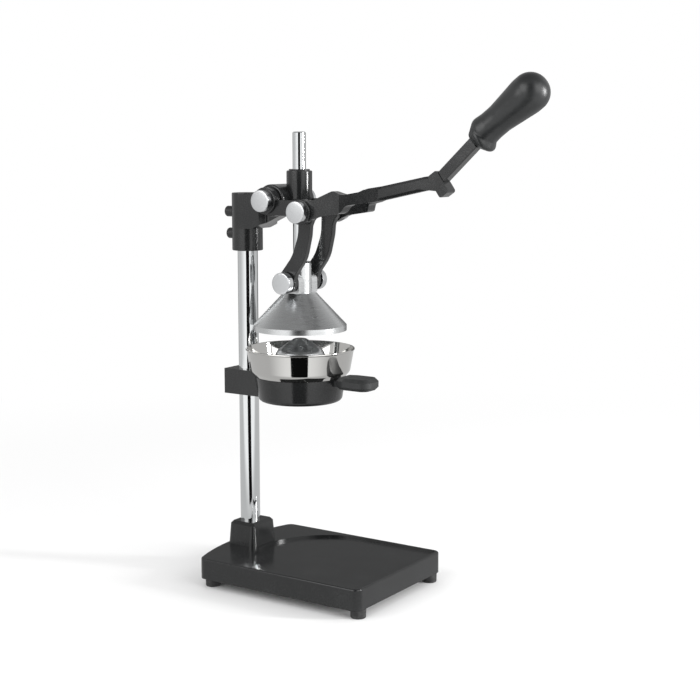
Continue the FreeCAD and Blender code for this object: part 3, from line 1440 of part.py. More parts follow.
def make_strainer():
    """Slotted strainer with a dome, standing on the cup's floor on its skirt."""
    body = new_body("strainer")
    wall = size.strainer_wall
    floor = size.strainer_floor_z
    foot = cup_floor + size.cup_wall
    dome = size.strainer_dome_radius
    top = size.strainer_top_z
    rise = top - floor
    profile = new_sketch(body, "XZ_Plane")
    draw_outline(profile, [
        (size.skirt_radius - wall, foot), (size.skirt_radius, foot), (size.skirt_radius, floor - wall),
        (size.strainer_rim_radius, floor - wall),
        (size.strainer_rim_radius, floor + size.strainer_rim_height),
        (size.strainer_rim_radius - wall, floor + size.strainer_rim_height),
        (size.strainer_rim_radius - wall, floor), (dome, floor),
        (dome * 0.8, floor + rise * 0.62, 14), (dome * 0.2, top, 8), (0, top), (0, top - wall),
        (dome * 0.2 - wall * 0.4, top - wall, 6.5), (dome * 0.8 - wall, floor + rise * 0.62 - wall * 0.6, 12.5),
        (dome - wall, floor - wall), (size.skirt_radius - wall, floor - wall)])
    revolve(body, profile)
    cut_slots(body)
    place(body, size.press_x)
    return node(body)


def cut_slots(body):
    slot = new_sketch(body, "XY_Plane", size.strainer_floor_z)
    near_end = size.slot_circle - size.slot_length / 2
    far_end = size.slot_circle + size.slot_length / 2
    side = size.slot_width / 2
    draw_outline(slot, [(near_end, -side), (far_end, -side), (far_end, side), (near_end, side)])
    cut = pocket(body, slot, size.strainer_wall)
    before = body.Shape.Volume
    ring = body.newObject("PartDesign::PolarPattern", "slots")
    ring.Originals = [cut]
    ring.Axis = (next(item for item in body.Origin.OriginFeatures if item.Role == "Z_Axis"), [""])
    ring.Angle = 360
    bind(ring, "Occurrences", size.slot_count)
    body.Tip = ring
    doc.recompute()
    check_cut(body, before)


make_cup()
make_paddle()
make_paddle_screw()
make_strainer()
doc.recompute()


def check_document():
    for item in doc.Objects:
        if "Invalid" in item.State or "Error" in item.State:
            raise ValueError(f"{item.Label} failed: {item.State}")
    for item in nodes:
        if item.Shape.isNull() or not item.Shape.isValid():
            raise ValueError(f"{item.Label} has no sound shape")


def export_nodes():
    os.makedirs("parts", exist_ok=True)
    for item in nodes:
        item.Shape.exportStep(f"parts/{item.Label}.step")


check_document()
export_nodes()
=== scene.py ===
import math

import bmesh
import bpy
from bpy.props import FloatProperty, FloatVectorProperty, IntProperty, PointerProperty
from mathutils import Matrix, Vector


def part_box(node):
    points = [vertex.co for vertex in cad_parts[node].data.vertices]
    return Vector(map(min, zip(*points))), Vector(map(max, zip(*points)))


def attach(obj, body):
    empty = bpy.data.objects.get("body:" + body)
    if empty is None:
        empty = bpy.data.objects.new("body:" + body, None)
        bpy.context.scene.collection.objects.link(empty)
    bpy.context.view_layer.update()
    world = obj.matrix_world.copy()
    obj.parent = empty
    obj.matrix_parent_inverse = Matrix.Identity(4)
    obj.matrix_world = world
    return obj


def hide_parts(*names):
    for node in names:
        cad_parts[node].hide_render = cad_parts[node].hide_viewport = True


bl_info = {
    "name": "Lever citrus press",
    "version": (1, 0, 0),
    "blender": (4, 5, 0),
    "location": "View3D > Sidebar > Citrus press",
    "description": "Finishes and turned pieces of a hand-worked citrus press",
    "category": "Object",
}

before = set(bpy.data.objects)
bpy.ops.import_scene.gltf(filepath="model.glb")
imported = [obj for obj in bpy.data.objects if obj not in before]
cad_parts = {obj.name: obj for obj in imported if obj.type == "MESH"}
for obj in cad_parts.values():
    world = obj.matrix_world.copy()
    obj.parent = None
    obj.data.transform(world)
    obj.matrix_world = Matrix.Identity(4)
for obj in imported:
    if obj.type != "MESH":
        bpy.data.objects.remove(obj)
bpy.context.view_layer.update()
MM = 0.001

# Which pieces share a finish.

CASTINGS = ["base_casting", "head_casting", "cup_holder", "lever_casting", "link_left", "link_right"]
ENAMELLED = [*CASTINGS, "handle_shank"]
POLISHED = ["post", "guide_rod"]
PINS = ["fulcrum_pin", "saddle_pin", "link_pin_left", "link_pin_right"]
WASHERS = [
    "fulcrum_washer_left",
    "fulcrum_washer_right",
    "link_washer_left",
    "link_washer_right",
    "post_washer",
]
BOLTS = ["post_bolt", "foot_screws", "cone_screw", "cup_handle_screw"]
BLACKENED = ["collar_screw_upper", "collar_screw_lower", "holder_screw", "guide_bush"]
CAPS = ["fulcrum_cap_left", "fulcrum_cap_right", "link_cap_left", "link_cap_right"]
SADDLE_CAPS = ["saddle_cap_left", "saddle_cap_right"]
FEET = ["foot_front_left", "foot_front_right", "foot_rear_left", "foot_rear_right"]


# Places and sizes that the frame's boxes don't give, in millimetres unless said.

PRESS_X = sum(corner.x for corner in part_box("press_cone")) / 2
CUP_SEAT_DROP = 2.0
SPIGOT_RADIUS = 50.0
SPIGOT_DEPTH = 9.0
SPOUT_RADIUS = 15.0
FUNNEL_RADIUS = 38.0
FUNNEL_DEPTH = 15.0
CUP_SHOULDER_RADIUS = 55.6
CUP_SIDE_RADIUS = 61.1
CUP_SIDE_RISE = 6.0
CUP_TURN_RADIUS = 9.0
CUP_INSIDE_LIFT = 0.5
CUP_RIM_TURN = 0.6
SPIGOT_FOOT_TURN = 1.2
SPIGOT_TOP_TURN = 1.0
SPOUT_EDGE_TURN = 0.5
FUNNEL_TURN = 3.0
FUNNEL_TIGHTENING = 0.4
FUNNEL_LIFT = 0.8
SKIRT_RADIUS = 42.0
SKIRT_DEPTH = 14.4
SKIRT_TURN = 1.0
STRAINER_RIM = 5.0
STRAINER_RIM_TURN = 0.7
STRAINER_CORNER_TURN = 2.0
DOME_RADIUS = 36.0
DOME_BROW_SHARE = 0.8
DOME_BROW_RISE = 0.62
DOME_BROW_TURN = 14.0
DOME_CROWN_SHARE = 0.2
DOME_CROWN_TURN = 8.0
CAP_NECK_RADIUS = 8.0
CAP_RIM_TURN = 0.8
CAP_FOOT_TURN = 0.3
CAP_BOW_SHARES = (0.0, 0.25, 0.45, 0.62, 0.78)
SADDLE_NECK = 2.8
FOOT_TOP_RADIUS = 9.4
FOOT_TAPER = 0.4
FOOT_LEAN = 0.1
FOOT_GROOVE_HEIGHT = 0.25
FOOT_EDGE_TURN = 0.9
FOOT_SMALL_TURN = 0.3
FOOT_TOP_TURN = 0.2
FOOT_SINK_TURN = 0.5
FOOT_SINK_RADIUS = 4.8
FOOT_SINK_DEPTH = 5.0
FOOT_HOLE_RADIUS = 2.5

# Finishes: a roughness for each gloss, and a height in metres for each grain.

ENAMEL_IOR = 1.5
PLASTIC_IOR = 1.48
GRIP_GLOSS = 0.27
GRIP_GRAIN = 0.00002
PADDLE_GLOSS = 0.46
PADDLE_GRAIN = 0.00006
CAP_GLOSS = 0.16

# Stage, in metres, watts and levels.

FLOOR_TURNS = 64
FLOOR_MARGIN = 1.2
FLOOR_SHINE_STARTS = 0.1
FLOOR_SHINE_ENDS = 0.5
DARK_LEVEL = 0.006
DARK_CARD_NEAR = 0.32
DARK_CARD_TOP = 3.2
DARK_CARD_LIFT = 0.0005
BACK_CARD_AWAY = 1.6
BACK_CARD_HALF_WIDTH = 1.3
BACK_CARD_TOP = 0.9
CEILING_STARTS = 0.30
CEILING_ENDS = 0.95
FRONT_FALL = 1.5
LAMP_TARGET = (-0.05, 0.0, 0.3)
KEY_PLACE = (-0.8, -2.6, 1.6)
FILL_PLACE = (2.7, -0.3, 1.6)
STRIP_PLACE = (2.1, 0.95, 0.75)
SENSOR_WIDTH = 36.0
CAMERA_SIGHT = 50.0


def colour_setting(label, meaning, default):
    return FloatVectorProperty(
        name=label,
        description=meaning,
        subtype="COLOR",
        size=3,
        min=0.0,
        max=1.0,
        default=default,
    )


def length_setting(label, meaning, default):
    return FloatProperty(
        name=label,
        description=meaning,
        default=default,
        min=0.0,
        precision=5,
        subtype="DISTANCE",
        unit="LENGTH",
    )


def share_setting(label, meaning, default):
    return FloatProperty(name=label, description=meaning, default=default, min=0.0, soft_max=1.0)


def power_setting(label, meaning, default):
    return FloatProperty(name=label, description=meaning, default=default, min=0.0, unit="POWER")


class PressColours(bpy.types.PropertyGroup):
    enamel: colour_setting("Enamel", "Black enamel on the castings", (0.012, 0.0125, 0.0128))
    rubber: colour_setting("Rubber", "Feet", (0.022, 0.022, 0.022))
    plastic: colour_setting("Plastic", "Grip and paddle", (0.015, 0.016, 0.0165))
    chrome: colour_setting("Chrome", "Post and rod", (0.66, 0.675, 0.68))
    spun: colour_setting("Spun steel", "Cone and strainer", (0.61, 0.62, 0.625))
    mirror: colour_setting("Polished steel", "Cup", (0.58, 0.575, 0.56))
    zinc: colour_setting("Zinc", "Caps, washers and bolts", (0.60, 0.61, 0.62))
    oxide: colour_setting("Black oxide", "Grub screws and the bush's flange", (0.035, 0.035, 0.036))


class EnamelSizes(bpy.types.PropertyGroup):
    grain: length_setting("Grain", "Spacing of the sand grain under the enamel", 0.0011)
    peel: length_setting("Peel", "Spacing of the enamel's slow waves", 0.006)
    depth: length_setting("Depth", "Height of the grain", 0.000035)
    patches: length_setting("Patches", "Spacing of the duller patches", 0.035)
    gloss: share_setting("Roughness", "Roughness of the enamel between its grains", 0.10)
    dulled: share_setting("Dull patches", "Roughness that the patches add", 0.1)
    grain_dulls: share_setting("Dull grains", "Roughness that the grain adds", 0.08)
    worn_tone: share_setting("Worn tone", "How much lighter the high grains are", 2.0)


class TurnedSizes(bpy.types.PropertyGroup):
    steps: IntProperty(name="Steps", description="Facets round a turned piece", default=128, min=12)
    cup_wall: length_setting("Cup's sheet", "Thickness of the cup's sheet", 0.0016)
    cup_bead: length_setting("Cup's bead", "Radius of the rolled bead round the cup's rim", 0.0012)
    strainer_wall: length_setting("Strainer's sheet", "Thickness of the strainer's sheet", 0.0015)
    slot_count: IntProperty(name="Slots", description="Slots round the strainer", default=18, min=3)
    slot_width: length_setting("Slot width", "Width of a slot", 0.0025)
    slot_length: length_setting("Slot length", "Length of a slot", 0.008)
    slot_circle: length_setting("Slot circle", "Middle of the slots from the axis", 0.0475)
    cap_crown: length_setting("Cap's crown", "How far a cap's face stands proud of its rim", 0.0003)
    foot_groove: length_setting("Foot's groove", "Depth of the moulded groove round a foot", 0.0005)


class StageSizes(bpy.types.PropertyGroup):
    floor_radius: length_setting("Floor", "Radius at which the floor has faded to white", 1.5)
    floor_clear: length_setting("Floor round the press", "Radius that keeps its shadow", 0.4)
    floor_colour: colour_setting("Floor colour", "Pale floor", (0.86, 0.86, 0.86))
    camera_place: FloatVectorProperty(
        name="Camera",
        description="Where the camera stands",
        subtype="TRANSLATION",
        unit="LENGTH",
        size=3,
        default=(0.8837, -1.3789, 0.5405),
    )
    camera_turn: FloatProperty(
        name="Camera turn",
        description="Azimuth that the camera looks from",
        subtype="ANGLE",
        default=math.radians(33.63),
    )
    camera_fall: FloatProperty(
        name="Camera fall",
        description="How far the camera looks down",
        subtype="ANGLE",
        default=math.radians(8.39),
    )
    lens: FloatProperty(
        name="Lens",
        description="Focal length on a 36 mm sensor",
        subtype="DISTANCE_CAMERA",
        default=72.0,
    )
    soft_level: share_setting("Soft light", "Level of the light from all round", 0.82)
    side_level: share_setting("Room at the sides", "Level that mirrors show at the sides", 0.70)
    front_level: share_setting("Room in front", "How much brighter mirrors show the front", 0.75)
    ceiling_level: share_setting("Ceiling", "Share of that level overhead", 0.38)
    floor_level: share_setting("Floor in mirrors", "Level that mirrors show for the floor", 0.67)
    floor_shine: share_setting("Floor in front", "How much brighter mirrors show the floor in front", 0.60)
    back_level: share_setting("Back card", "Level of the card low behind the press", 0.19)
    key_power: power_setting("Key lamp", "Power of the lamp in front", 36.0)
    key_width: length_setting("Key lamp's width", "Width and height of the lamp in front", 2.2)
    fill_power: power_setting("Fill lamp", "Power of the lamp on the right", 30.0)
    fill_width: length_setting("Fill lamp's width", "Width and height of the lamp on the right", 2.2)
    strip_power: power_setting("Strip lamp", "Power of the narrow lamp behind on the right", 44.0)
    strip_width: length_setting("Strip lamp's width", "Width of the narrow lamp", 0.22)
    strip_height: length_setting("Strip lamp's height", "Height of the narrow lamp", 0.9)
    card_reach: length_setting("Dark card", "How far the dark card stands from the press", 2.3)
    card_half_angle: FloatProperty(
        name="Dark card's width",
        description="Half the angle that the dark card fills, seen from the press",
        subtype="ANGLE",
        default=math.radians(19.0),
    )


class PressSettings(bpy.types.PropertyGroup):
    colours: PointerProperty(type=PressColours)
    enamel: PointerProperty(type=EnamelSizes)
    turned: PointerProperty(type=TurnedSizes)
    stage: PointerProperty(type=StageSizes)


def settings():
    return bpy.context.scene.citrus_press


# Node graphs, for materials and for geometry.


class Value:
    """An output socket that takes part in arithmetic."""

    def __init__(self, graph, socket):
        self.graph = graph
        self.socket = socket

    def __add__(self, other):
        return self.graph.maths("ADD", self, other)

    def __radd__(self, other):
        return self.graph.maths("ADD", other, self)

    def __sub__(self, other):
        return self.graph.maths("SUBTRACT", self, other)

    def __rsub__(self, other):
        return self.graph.maths("SUBTRACT", other, self)

    def __mul__(self, other):
        return self.graph.maths("MULTIPLY", self, other)

    def __rmul__(self, other):
        return self.graph.maths("MULTIPLY", other, self)

    def __truediv__(self, other):
        return self.graph.maths("DIVIDE", self, other)

    def __pow__(self, other):
        return self.graph.maths("POWER", self, other)

    def at_most(self, other):
        return self.graph.maths("MINIMUM", self, other)

    def at_least(self, other):
        return self.graph.maths("MAXIMUM", self, other)


class Graph:
    """Adds nodes to one node tree."""

    def __init__(self, tree):
        self.tree = tree
        self.tree.nodes.clear()

    def node(self, kind, options=None, inputs=None, output=0):
        made = self.tree.nodes.new(kind)
        for name, option in (options or {}).items():
            setattr(made, name, option)
        for name, value in (inputs or {}).items():
            self.feed(made.inputs[name], value)
        return Value(self, made.outputs[output]) if made.outputs else made

    def maths(self, operation, first, second=0.0):
        return self.node("ShaderNodeMath", {"operation": operation}, {0: first, 1: second})

    def feed(self, socket, value):
        if isinstance(value, Value):
            self.tree.links.new(value.socket, socket)
        else:
            socket.default_value = value

    def place(self):
        return self.node("ShaderNodeTexCoord", output="Object")

    def mapped(self, turn=(0, 0, 0), scale=(1, 1, 1), shift=(0, 0, 0)):
        wanted = {"Vector": self.place(), "Location": shift, "Rotation": turn, "Scale": scale}
        return self.node("ShaderNodeMapping", {"vector_type": "POINT"}, wanted)

    def noise(self, spacing, detail=2.0, where=None, rough=0.5):
        wanted = {"Scale": 1 / spacing, "Detail": detail, "Roughness": rough}
        wanted["Vector"] = where or self.place()
        return self.node("ShaderNodeTexNoise", inputs=wanted)

    def cells(self, spacing, where=None):
        wanted = {"Scale": 1 / spacing, "Vector": where or self.place()}
        return self.node("ShaderNodeTexVoronoi", inputs=wanted)

    def rings(self, spacing, squash, detail=2.0):
        """Fine rings about the upright axis, as long as the squash makes them."""
        return self.noise(spacing, detail=detail, where=self.mapped(scale=(squash, squash, 1)))

    def stepped(self, value, low, high, at_low=0.0, at_high=1.0):
        wanted = {"Value": value, "From Min": low, "From Max": high, "To Min": at_low, "To Max": at_high}
        return self.node("ShaderNodeMapRange", {"interpolation_type": "SMOOTHSTEP"}, wanted)

    def blend(self, share, first, second):
        wanted = {"Factor": share, 6: first, 7: second}
        return self.node("ShaderNodeMix", {"data_type": "RGBA"}, wanted, output=2)

    def towards_camera(self, place, sizes):
        """How far a place or direction lies on the camera's side."""
        wanted = {0: place, 1: level_direction(sizes.camera_turn)}
        return self.node("ShaderNodeVectorMath", {"operation": "DOT_PRODUCT"}, wanted, output="Value")

    def bump(self, height, distance, strength=1.0):
        wanted = {"Height": height, "Distance": distance, "Strength": strength}
        return self.node("ShaderNodeBump", inputs=wanted)


def level_direction(turn):
    """The level direction at an azimuth, which is 0 in front of the press."""
    return Vector((math.sin(turn), -math.cos(turn), 0.0))


class Finish(Graph):
    """One material on the Principled shader."""

    def __init__(self, name):
        self.material = bpy.data.materials.new(name)
        self.material.use_nodes = True
        super().__init__(self.material.node_tree)

    def two_tones(self, share, colour, dark, light):
        return self.blend(share, toned(colour, dark), toned(colour, light))

    def shade(self, **inputs):
        wanted = {name.replace("_", " "): value for name, value in inputs.items()}
        shader = self.node("ShaderNodeBsdfPrincipled", inputs=wanted)
        self.node("ShaderNodeOutputMaterial", inputs={"Surface": shader})
        return self.material


def solid(colour):
    return (*colour, 1.0)


def toned(colour, factor):
    return (*[min(1.0, part * factor) for part in colour], 1.0)


# Finishes.


def enamel_finish():
    """Glossy black enamel over a sand-cast surface, thinner and greyer on its high grains."""
    sizes = settings().enamel
    colour = settings().colours.enamel
    finish = Finish("cast_enamel")
    pebble_width = sizes.grain * 1.6
    grain_share = 0.55
    pebble_share = 0.35
    peel_share = 1.5
    grain = finish.noise(sizes.grain, detail=3.0)
    pebbles = finish.cells(pebble_width)
    peel = finish.noise(sizes.peel, detail=2.0)
    patches = finish.noise(sizes.patches, detail=3.0)
    height = grain * grain_share + pebbles * pebble_share + peel * peel_share
    rough = sizes.gloss + finish.stepped(patches, 0.35, 0.7, 0.0, sizes.dulled) + grain * sizes.grain_dulls
    high = finish.stepped(grain + patches * 0.4, 0.72, 0.95)
    return finish.shade(
        Base_Color=finish.two_tones(high, colour, 1.0, sizes.worn_tone),
        Roughness=rough,
        IOR=ENAMEL_IOR,
        Normal=finish.bump(height, sizes.depth),
    )


def chrome_finish():
    """Bright chrome with faint polishing lines and a few duller patches."""
    colour = settings().colours.chrome
    finish = Finish("chrome")
    patch_width = 0.03
    line_width = 0.0006
    line_depth = 0.000004
    patches = finish.noise(patch_width, detail=4.0)
    lines = finish.noise(line_width, where=finish.mapped(scale=(1, 1, 0.05)))
    return finish.shade(
        Base_Color=finish.two_tones(patches, colour, 0.97, 1.03),
        Metallic=1.0,
        Roughness=finish.stepped(patches, 0.4, 0.75, 0.045, 0.10),
        Normal=finish.bump(lines, line_depth),
    )


def mirror_finish():
    """Polished steel sheet with faint rings from spinning."""
    colour = settings().colours.mirror
    finish = Finish("mirror_steel")
    patch_width = 0.025
    ring_width = 0.0009
    ring_depth = 0.000006
    patches = finish.noise(patch_width, detail=4.0)
    rings = finish.rings(ring_width, 0.02)
    return finish.shade(
        Base_Color=finish.two_tones(patches, colour, 0.96, 1.03),
        Metallic=1.0,
        Roughness=finish.stepped(patches, 0.4, 0.75, 0.05, 0.11),
        Normal=finish.bump(rings, ring_depth),
    )


def spun_finish():
    """Satin steel with fine rings left by spinning it about an upright axis."""
    colour = settings().colours.spun
    finish = Finish("satin_steel_spun")
    patch_width = 0.02
    ring_width = 0.0005
    ring_depth = 0.00002
    smooth = 0.20
    patches = finish.noise(patch_width, detail=4.0)
    rings = finish.rings(ring_width, 0.015, detail=3.0)
    return finish.shade(
        Base_Color=finish.two_tones(rings, colour, 0.9, 1.08),
        Metallic=1.0,
        Roughness=smooth + rings * 0.10 + patches * 0.06,
        Normal=finish.bump(rings, ring_depth),
    )


def turned_finish(name="satin_steel_turned", colour=None, gloss=0.22):
    """Satin steel with rings that follow each piece's own axis."""
    colour = colour or settings().colours.spun
    finish = Finish(name)
    along = finish.node("ShaderNodeAttribute", {"attribute_name": "spun"}, output="Fac")
    where = finish.node("ShaderNodeCombineXYZ", inputs={2: along})
    patch_width = 0.012
    ring_width = 0.0004
    ring_depth = 0.000006
    rings = finish.noise(ring_width, detail=3.0, where=where)
    patches = finish.noise(patch_width, detail=4.0)
    return finish.shade(
        Base_Color=finish.two_tones(rings, colour, 0.92, 1.06),
        Metallic=1.0,
        Roughness=gloss + rings * 0.06 + patches * 0.06,
        Normal=finish.bump(rings, ring_depth),
    )


def zinc_finish():
    """Dull zinc plating with a mottled sheen."""
    colour = settings().colours.zinc
    finish = Finish("zinc_steel")
    crystal_width = 0.0025
    patch_width = 0.006
    patch_depth = 0.00003
    smooth = 0.32
    mottle = finish.cells(crystal_width)
    patches = finish.noise(patch_width, detail=4.0)
    return finish.shade(
        Base_Color=finish.two_tones(mottle, colour, 0.85, 1.08),
        Metallic=1.0,
        Roughness=smooth + mottle * 0.12 + patches * 0.1,
        Normal=finish.bump(patches, patch_depth),
    )


def plastic_finish(name, gloss, grain_depth):
    """Moulded black plastic with a fine sparked texture."""
    colour = settings().colours.plastic
    finish = Finish(name)
    grain_width = 0.0007
    wear_width = 0.018
    grain = finish.noise(grain_width, detail=3.0)
    wear = finish.noise(wear_width, detail=4.0)
    return finish.shade(
        Base_Color=finish.two_tones(wear, colour, 0.8, 1.5),
        Roughness=gloss + finish.stepped(wear, 0.35, 0.7, 0.0, 0.12) + grain * 0.06,
        IOR=PLASTIC_IOR,
        Normal=finish.bump(grain, grain_depth),
    )


def rubber_finish():
    """Matte black rubber, a little dusty."""
    colour = settings().colours.rubber
    finish = Finish("black_rubber")
    dust_width = 0.005
    grain_width = 0.0006
    grain_depth = 0.00005
    smooth = 0.62
    dust = finish.noise(dust_width, detail=5.0)
    grain = finish.noise(grain_width, detail=3.0)
    return finish.shade(
        Base_Color=finish.two_tones(finish.stepped(dust, 0.45, 0.8), colour, 1.0, 2.4),
        Roughness=smooth + dust * 0.15,
        Normal=finish.bump(grain, grain_depth),
    )


def oxide_finish():
    """Blackened steel with a dry oily sheen."""
    colour = settings().colours.oxide
    finish = Finish("black_screw")
    patch_width = 0.003
    patch_depth = 0.00002
    smooth = 0.30
    patches = finish.noise(patch_width, detail=4.0)
    return finish.shade(
        Base_Color=finish.two_tones(patches, colour, 0.7, 1.5),
        Metallic=0.6,
        Roughness=smooth + patches * 0.15,
        Normal=finish.bump(patches, patch_depth),
    )


def finish_nodes(names, material):
    """Gives CAD nodes a finish in place of the plain one they came with."""
    for name in names:
        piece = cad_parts[name]
        piece.data.materials.clear()
        piece.data.materials.append(material)


# Turned pieces, made by geometry nodes from a chain of points.


class Shaper(Graph):
    """A geometry tree whose named inputs are set on the modifier that runs it."""

    def __init__(self, name):
        super().__init__(bpy.data.node_groups.new(name, "GeometryNodeTree"))
        sockets = self.tree.interface
        sockets.new_socket("Geometry", in_out="INPUT", socket_type="NodeSocketGeometry")
        sockets.new_socket("Geometry", in_out="OUTPUT", socket_type="NodeSocketGeometry")
        self.start = self.tree.nodes.new("NodeGroupInput")
        self.given = Value(self, self.start.outputs["Geometry"])

    def input(self, name, kind="Float"):
        self.tree.interface.new_socket(name, in_out="INPUT", socket_type=f"NodeSocket{kind}")
        return Value(self, self.start.outputs[name])

    def vector(self, x=0.0, y=0.0, z=0.0):
        return self.node("ShaderNodeCombineXYZ", inputs={0: x, 1: y, 2: z})

    def moved(self, shape, place=(0, 0, 0), turn=(0, 0, 0)):
        wanted = {"Geometry": shape, "Translation": place, "Rotation": turn}
        return self.node("GeometryNodeTransform", inputs=wanted)

    def close(self, shape):
        """Every tree ends in plain, painted geometry."""
        whole = self.node("GeometryNodeRealizeInstances", inputs={"Geometry": shape})
        painted = {"Geometry": whole, "Material": self.input("Finish", "Material")}
        end = self.tree.nodes.new("NodeGroupOutput")
        self.feed(end.inputs["Geometry"], self.node("GeometryNodeSetMaterial", inputs=painted))
        return self.tree


def lathe_tree():
    """Turns the chain of points once round the upright axis, then leans and places it."""
    shape = Shaper("lathe")
    steps = shape.input("Steps", "Int")
    place = shape.input("Place", "Vector")
    lean = shape.input("Lean", "Vector")
    count = shape.node("GeometryNodeAttributeDomainSize", {"component": "MESH"}, {"Geometry": shape.given})
    sheet = shape.node("GeometryNodeMeshGrid", inputs={"Vertices X": count, "Vertices Y": steps + 1})
    index = shape.node("GeometryNodeInputIndex")
    along = shape.maths("FLOOR", (index + 0.5) / (steps + 1))
    angle = (index - along * (steps + 1)) / steps * (2 * math.pi)
    wanted = {"Geometry": shape.given, "Value": shape.node("GeometryNodeInputPosition"), "Index": along}
    point = shape.node("GeometryNodeSampleIndex", {"data_type": "FLOAT_VECTOR"}, wanted)
    parts = shape.node("ShaderNodeSeparateXYZ", inputs={0: point}, output="X")
    radius = Value(shape, parts.socket.node.outputs["X"])
    height = Value(shape, parts.socket.node.outputs["Z"])
    x = radius * shape.maths("COSINE", angle)
    y = radius * shape.maths("SINE", angle)
    bent = {"Geometry": sheet, "Position": shape.vector(x, y, height)}
    turned = shape.node("GeometryNodeSetPosition", inputs=bent)
    named = {"Geometry": turned, "Name": "spun", "Value": radius + height}
    marked = shape.node("GeometryNodeStoreNamedAttribute", {"data_type": "FLOAT"}, named)
    joined = shape.node("GeometryNodeMergeByDistance", inputs={"Geometry": marked, "Distance": 0.000001})
    return shape.close(shape.moved(joined, place, lean))


def corners_tree():
    """Repeats a piece at the four corners of a rectangle."""
    shape = Shaper("four_corners")
    length = shape.input("Length")
    width = shape.input("Width")
    place = shape.input("Place", "Vector")
    wanted = {"Size X": length, "Size Y": width, "Vertices X": 2, "Vertices Y": 2}
    corners = shape.moved(shape.node("GeometryNodeMeshGrid", inputs=wanted), place)
    wanted = {"Points": corners, "Instance": shape.given}
    return shape.close(shape.node("GeometryNodeInstanceOnPoints", inputs=wanted))


def sides_tree():
    """Repeats a piece on the other side of the press, turned to face outwards."""
    shape = Shaper("both_sides")
    place = shape.input("Place", "Vector")
    points = shape.node("GeometryNodeMeshLine", inputs={"Count": 2, "Offset": (0, 0, 0)})
    half_turn = shape.vector(z=shape.node("GeometryNodeInputIndex") * math.pi)
    wanted = {"Points": points, "Instance": shape.given, "Rotation": half_turn}
    pair = shape.node("GeometryNodeInstanceOnPoints", inputs=wanted)
    return shape.close(shape.moved(pair, place))


def slots_tree():
    """Cuts a ring of radial slots through a plate."""
    shape = Shaper("radial_slots")
    count = shape.input("Count", "Int")
    circle = shape.input("Circle")
    length = shape.input("Length")
    width = shape.input("Width")
    depth = shape.input("Depth")
    place = shape.input("Place", "Vector")
    ring = shape.node("GeometryNodeMeshCircle", inputs={"Vertices": count, "Radius": circle})
    cutter = shape.node("GeometryNodeMeshCube", inputs={"Size": shape.vector(length, width, depth)})
    turn = shape.vector(z=shape.node("GeometryNodeInputIndex") / count * (2 * math.pi))
    wanted = {"Points": ring, "Instance": cutter, "Rotation": turn}
    cutters = shape.node("GeometryNodeInstanceOnPoints", inputs=wanted)
    whole = shape.node("GeometryNodeRealizeInstances", inputs={"Geometry": shape.moved(cutters, place)})
    wanted = {"Mesh 1": shape.given, "Mesh 2": whole}
    return shape.close(shape.node("GeometryNodeMeshBoolean", {"operation": "DIFFERENCE"}, wanted))


def rounded(corners, steps=6):
    """Points in metres along a chain of (radius, height, rounding) corners in millimetres."""
    points = []
    for number, corner in enumerate(corners):
        here = Vector(corner[:2])
        rounding = corner[2] if len(corner) > 2 else 0.0
        if not rounding:
            points.append(here)
            continue
        back = (Vector(corners[number - 1][:2]) - here).normalized()
        ahead = (Vector(corners[(number + 1) % len(corners)][:2]) - here).normalized()
        half = back.angle(ahead) / 2
        centre = here + (back + ahead).normalized() * (rounding / math.sin(half))
        first = here + back * (rounding / math.tan(half)) - centre
        last = here + ahead * (rounding / math.tan(half)) - centre
        for step in range(steps + 1):
            points.append(centre + arc(first, last, step / steps))
    return [(x * MM, 0.0, z * MM) for x, z in points]


def arc(first, last, share):
    """A point between two radii of one circle."""
    angle = first.angle_signed(last)
    turned = first.copy()
    turned.rotate(Matrix.Rotation(-angle * share, 2))
    return turned


def chain_object(name, points):
    mesh = bpy.data.meshes.new(name)
    mesh.from_pydata(points, [(n, n + 1) for n in range(len(points) - 1)], [])
    made = bpy.data.objects.new(name, mesh)
    bpy.context.scene.collection.objects.link(made)
    return made


def run_tree(piece, tree, **sizes):
    """Adds a tree to a piece and sets its inputs by their sockets' identifiers."""
    modifier = piece.modifiers.new(tree.name, "NODES")
    modifier.node_group = tree
    for socket in tree.interface.items_tree:
        name = socket.name.lower()
        if socket.in_out == "INPUT" and name in sizes:
            modifier[socket.identifier] = sizes[name]


def turn_upright(piece, lathe, finish, steps, axis_x=PRESS_X):
    """Runs the lathe about an upright axis."""
    run_tree(piece, lathe, steps=steps, place=(axis_x, 0.0, 0.0), lean=(0.0, 0.0, 0.0), finish=finish)


def settle(piece, body, nodes, sharp=math.radians(35)):
    """Turns a piece's trees into one plain mesh, smooths it and sets it on its body."""
    bpy.context.view_layer.update()
    graph = bpy.context.evaluated_depsgraph_get()
    plain = bpy.data.meshes.new_from_object(piece.evaluated_get(graph))
    piece.modifiers.clear()
    piece.data = plain
    shell = bmesh.new()
    shell.from_mesh(plain)
    bmesh.ops.recalc_face_normals(shell, faces=shell.faces)
    for face in shell.faces:
        face.smooth = True
    for edge in shell.edges:
        edge.smooth = len(edge.link_faces) == 2 and edge.calc_face_angle() < sharp
    shell.to_mesh(plain)
    shell.free()
    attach(piece, body)
    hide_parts(*nodes)


# Operators, one for each group of pieces.


class PRESS_OT_castings(bpy.types.Operator):
    """Enamels the base, head, holder, lever and links"""

    bl_idname = "press.castings"
    bl_label = "Castings"

    def execute(self, context):
        finish_nodes(ENAMELLED, enamel_finish())
        return {"FINISHED"}


class PRESS_OT_bars(bpy.types.Operator):
    """Chromes the post and the guide rod, and gives them their polish"""

    bl_idname = "press.bars"
    bl_label = "Post and rod"

    def execute(self, context):
        finish_nodes(POLISHED, chrome_finish())
        return {"FINISHED"}


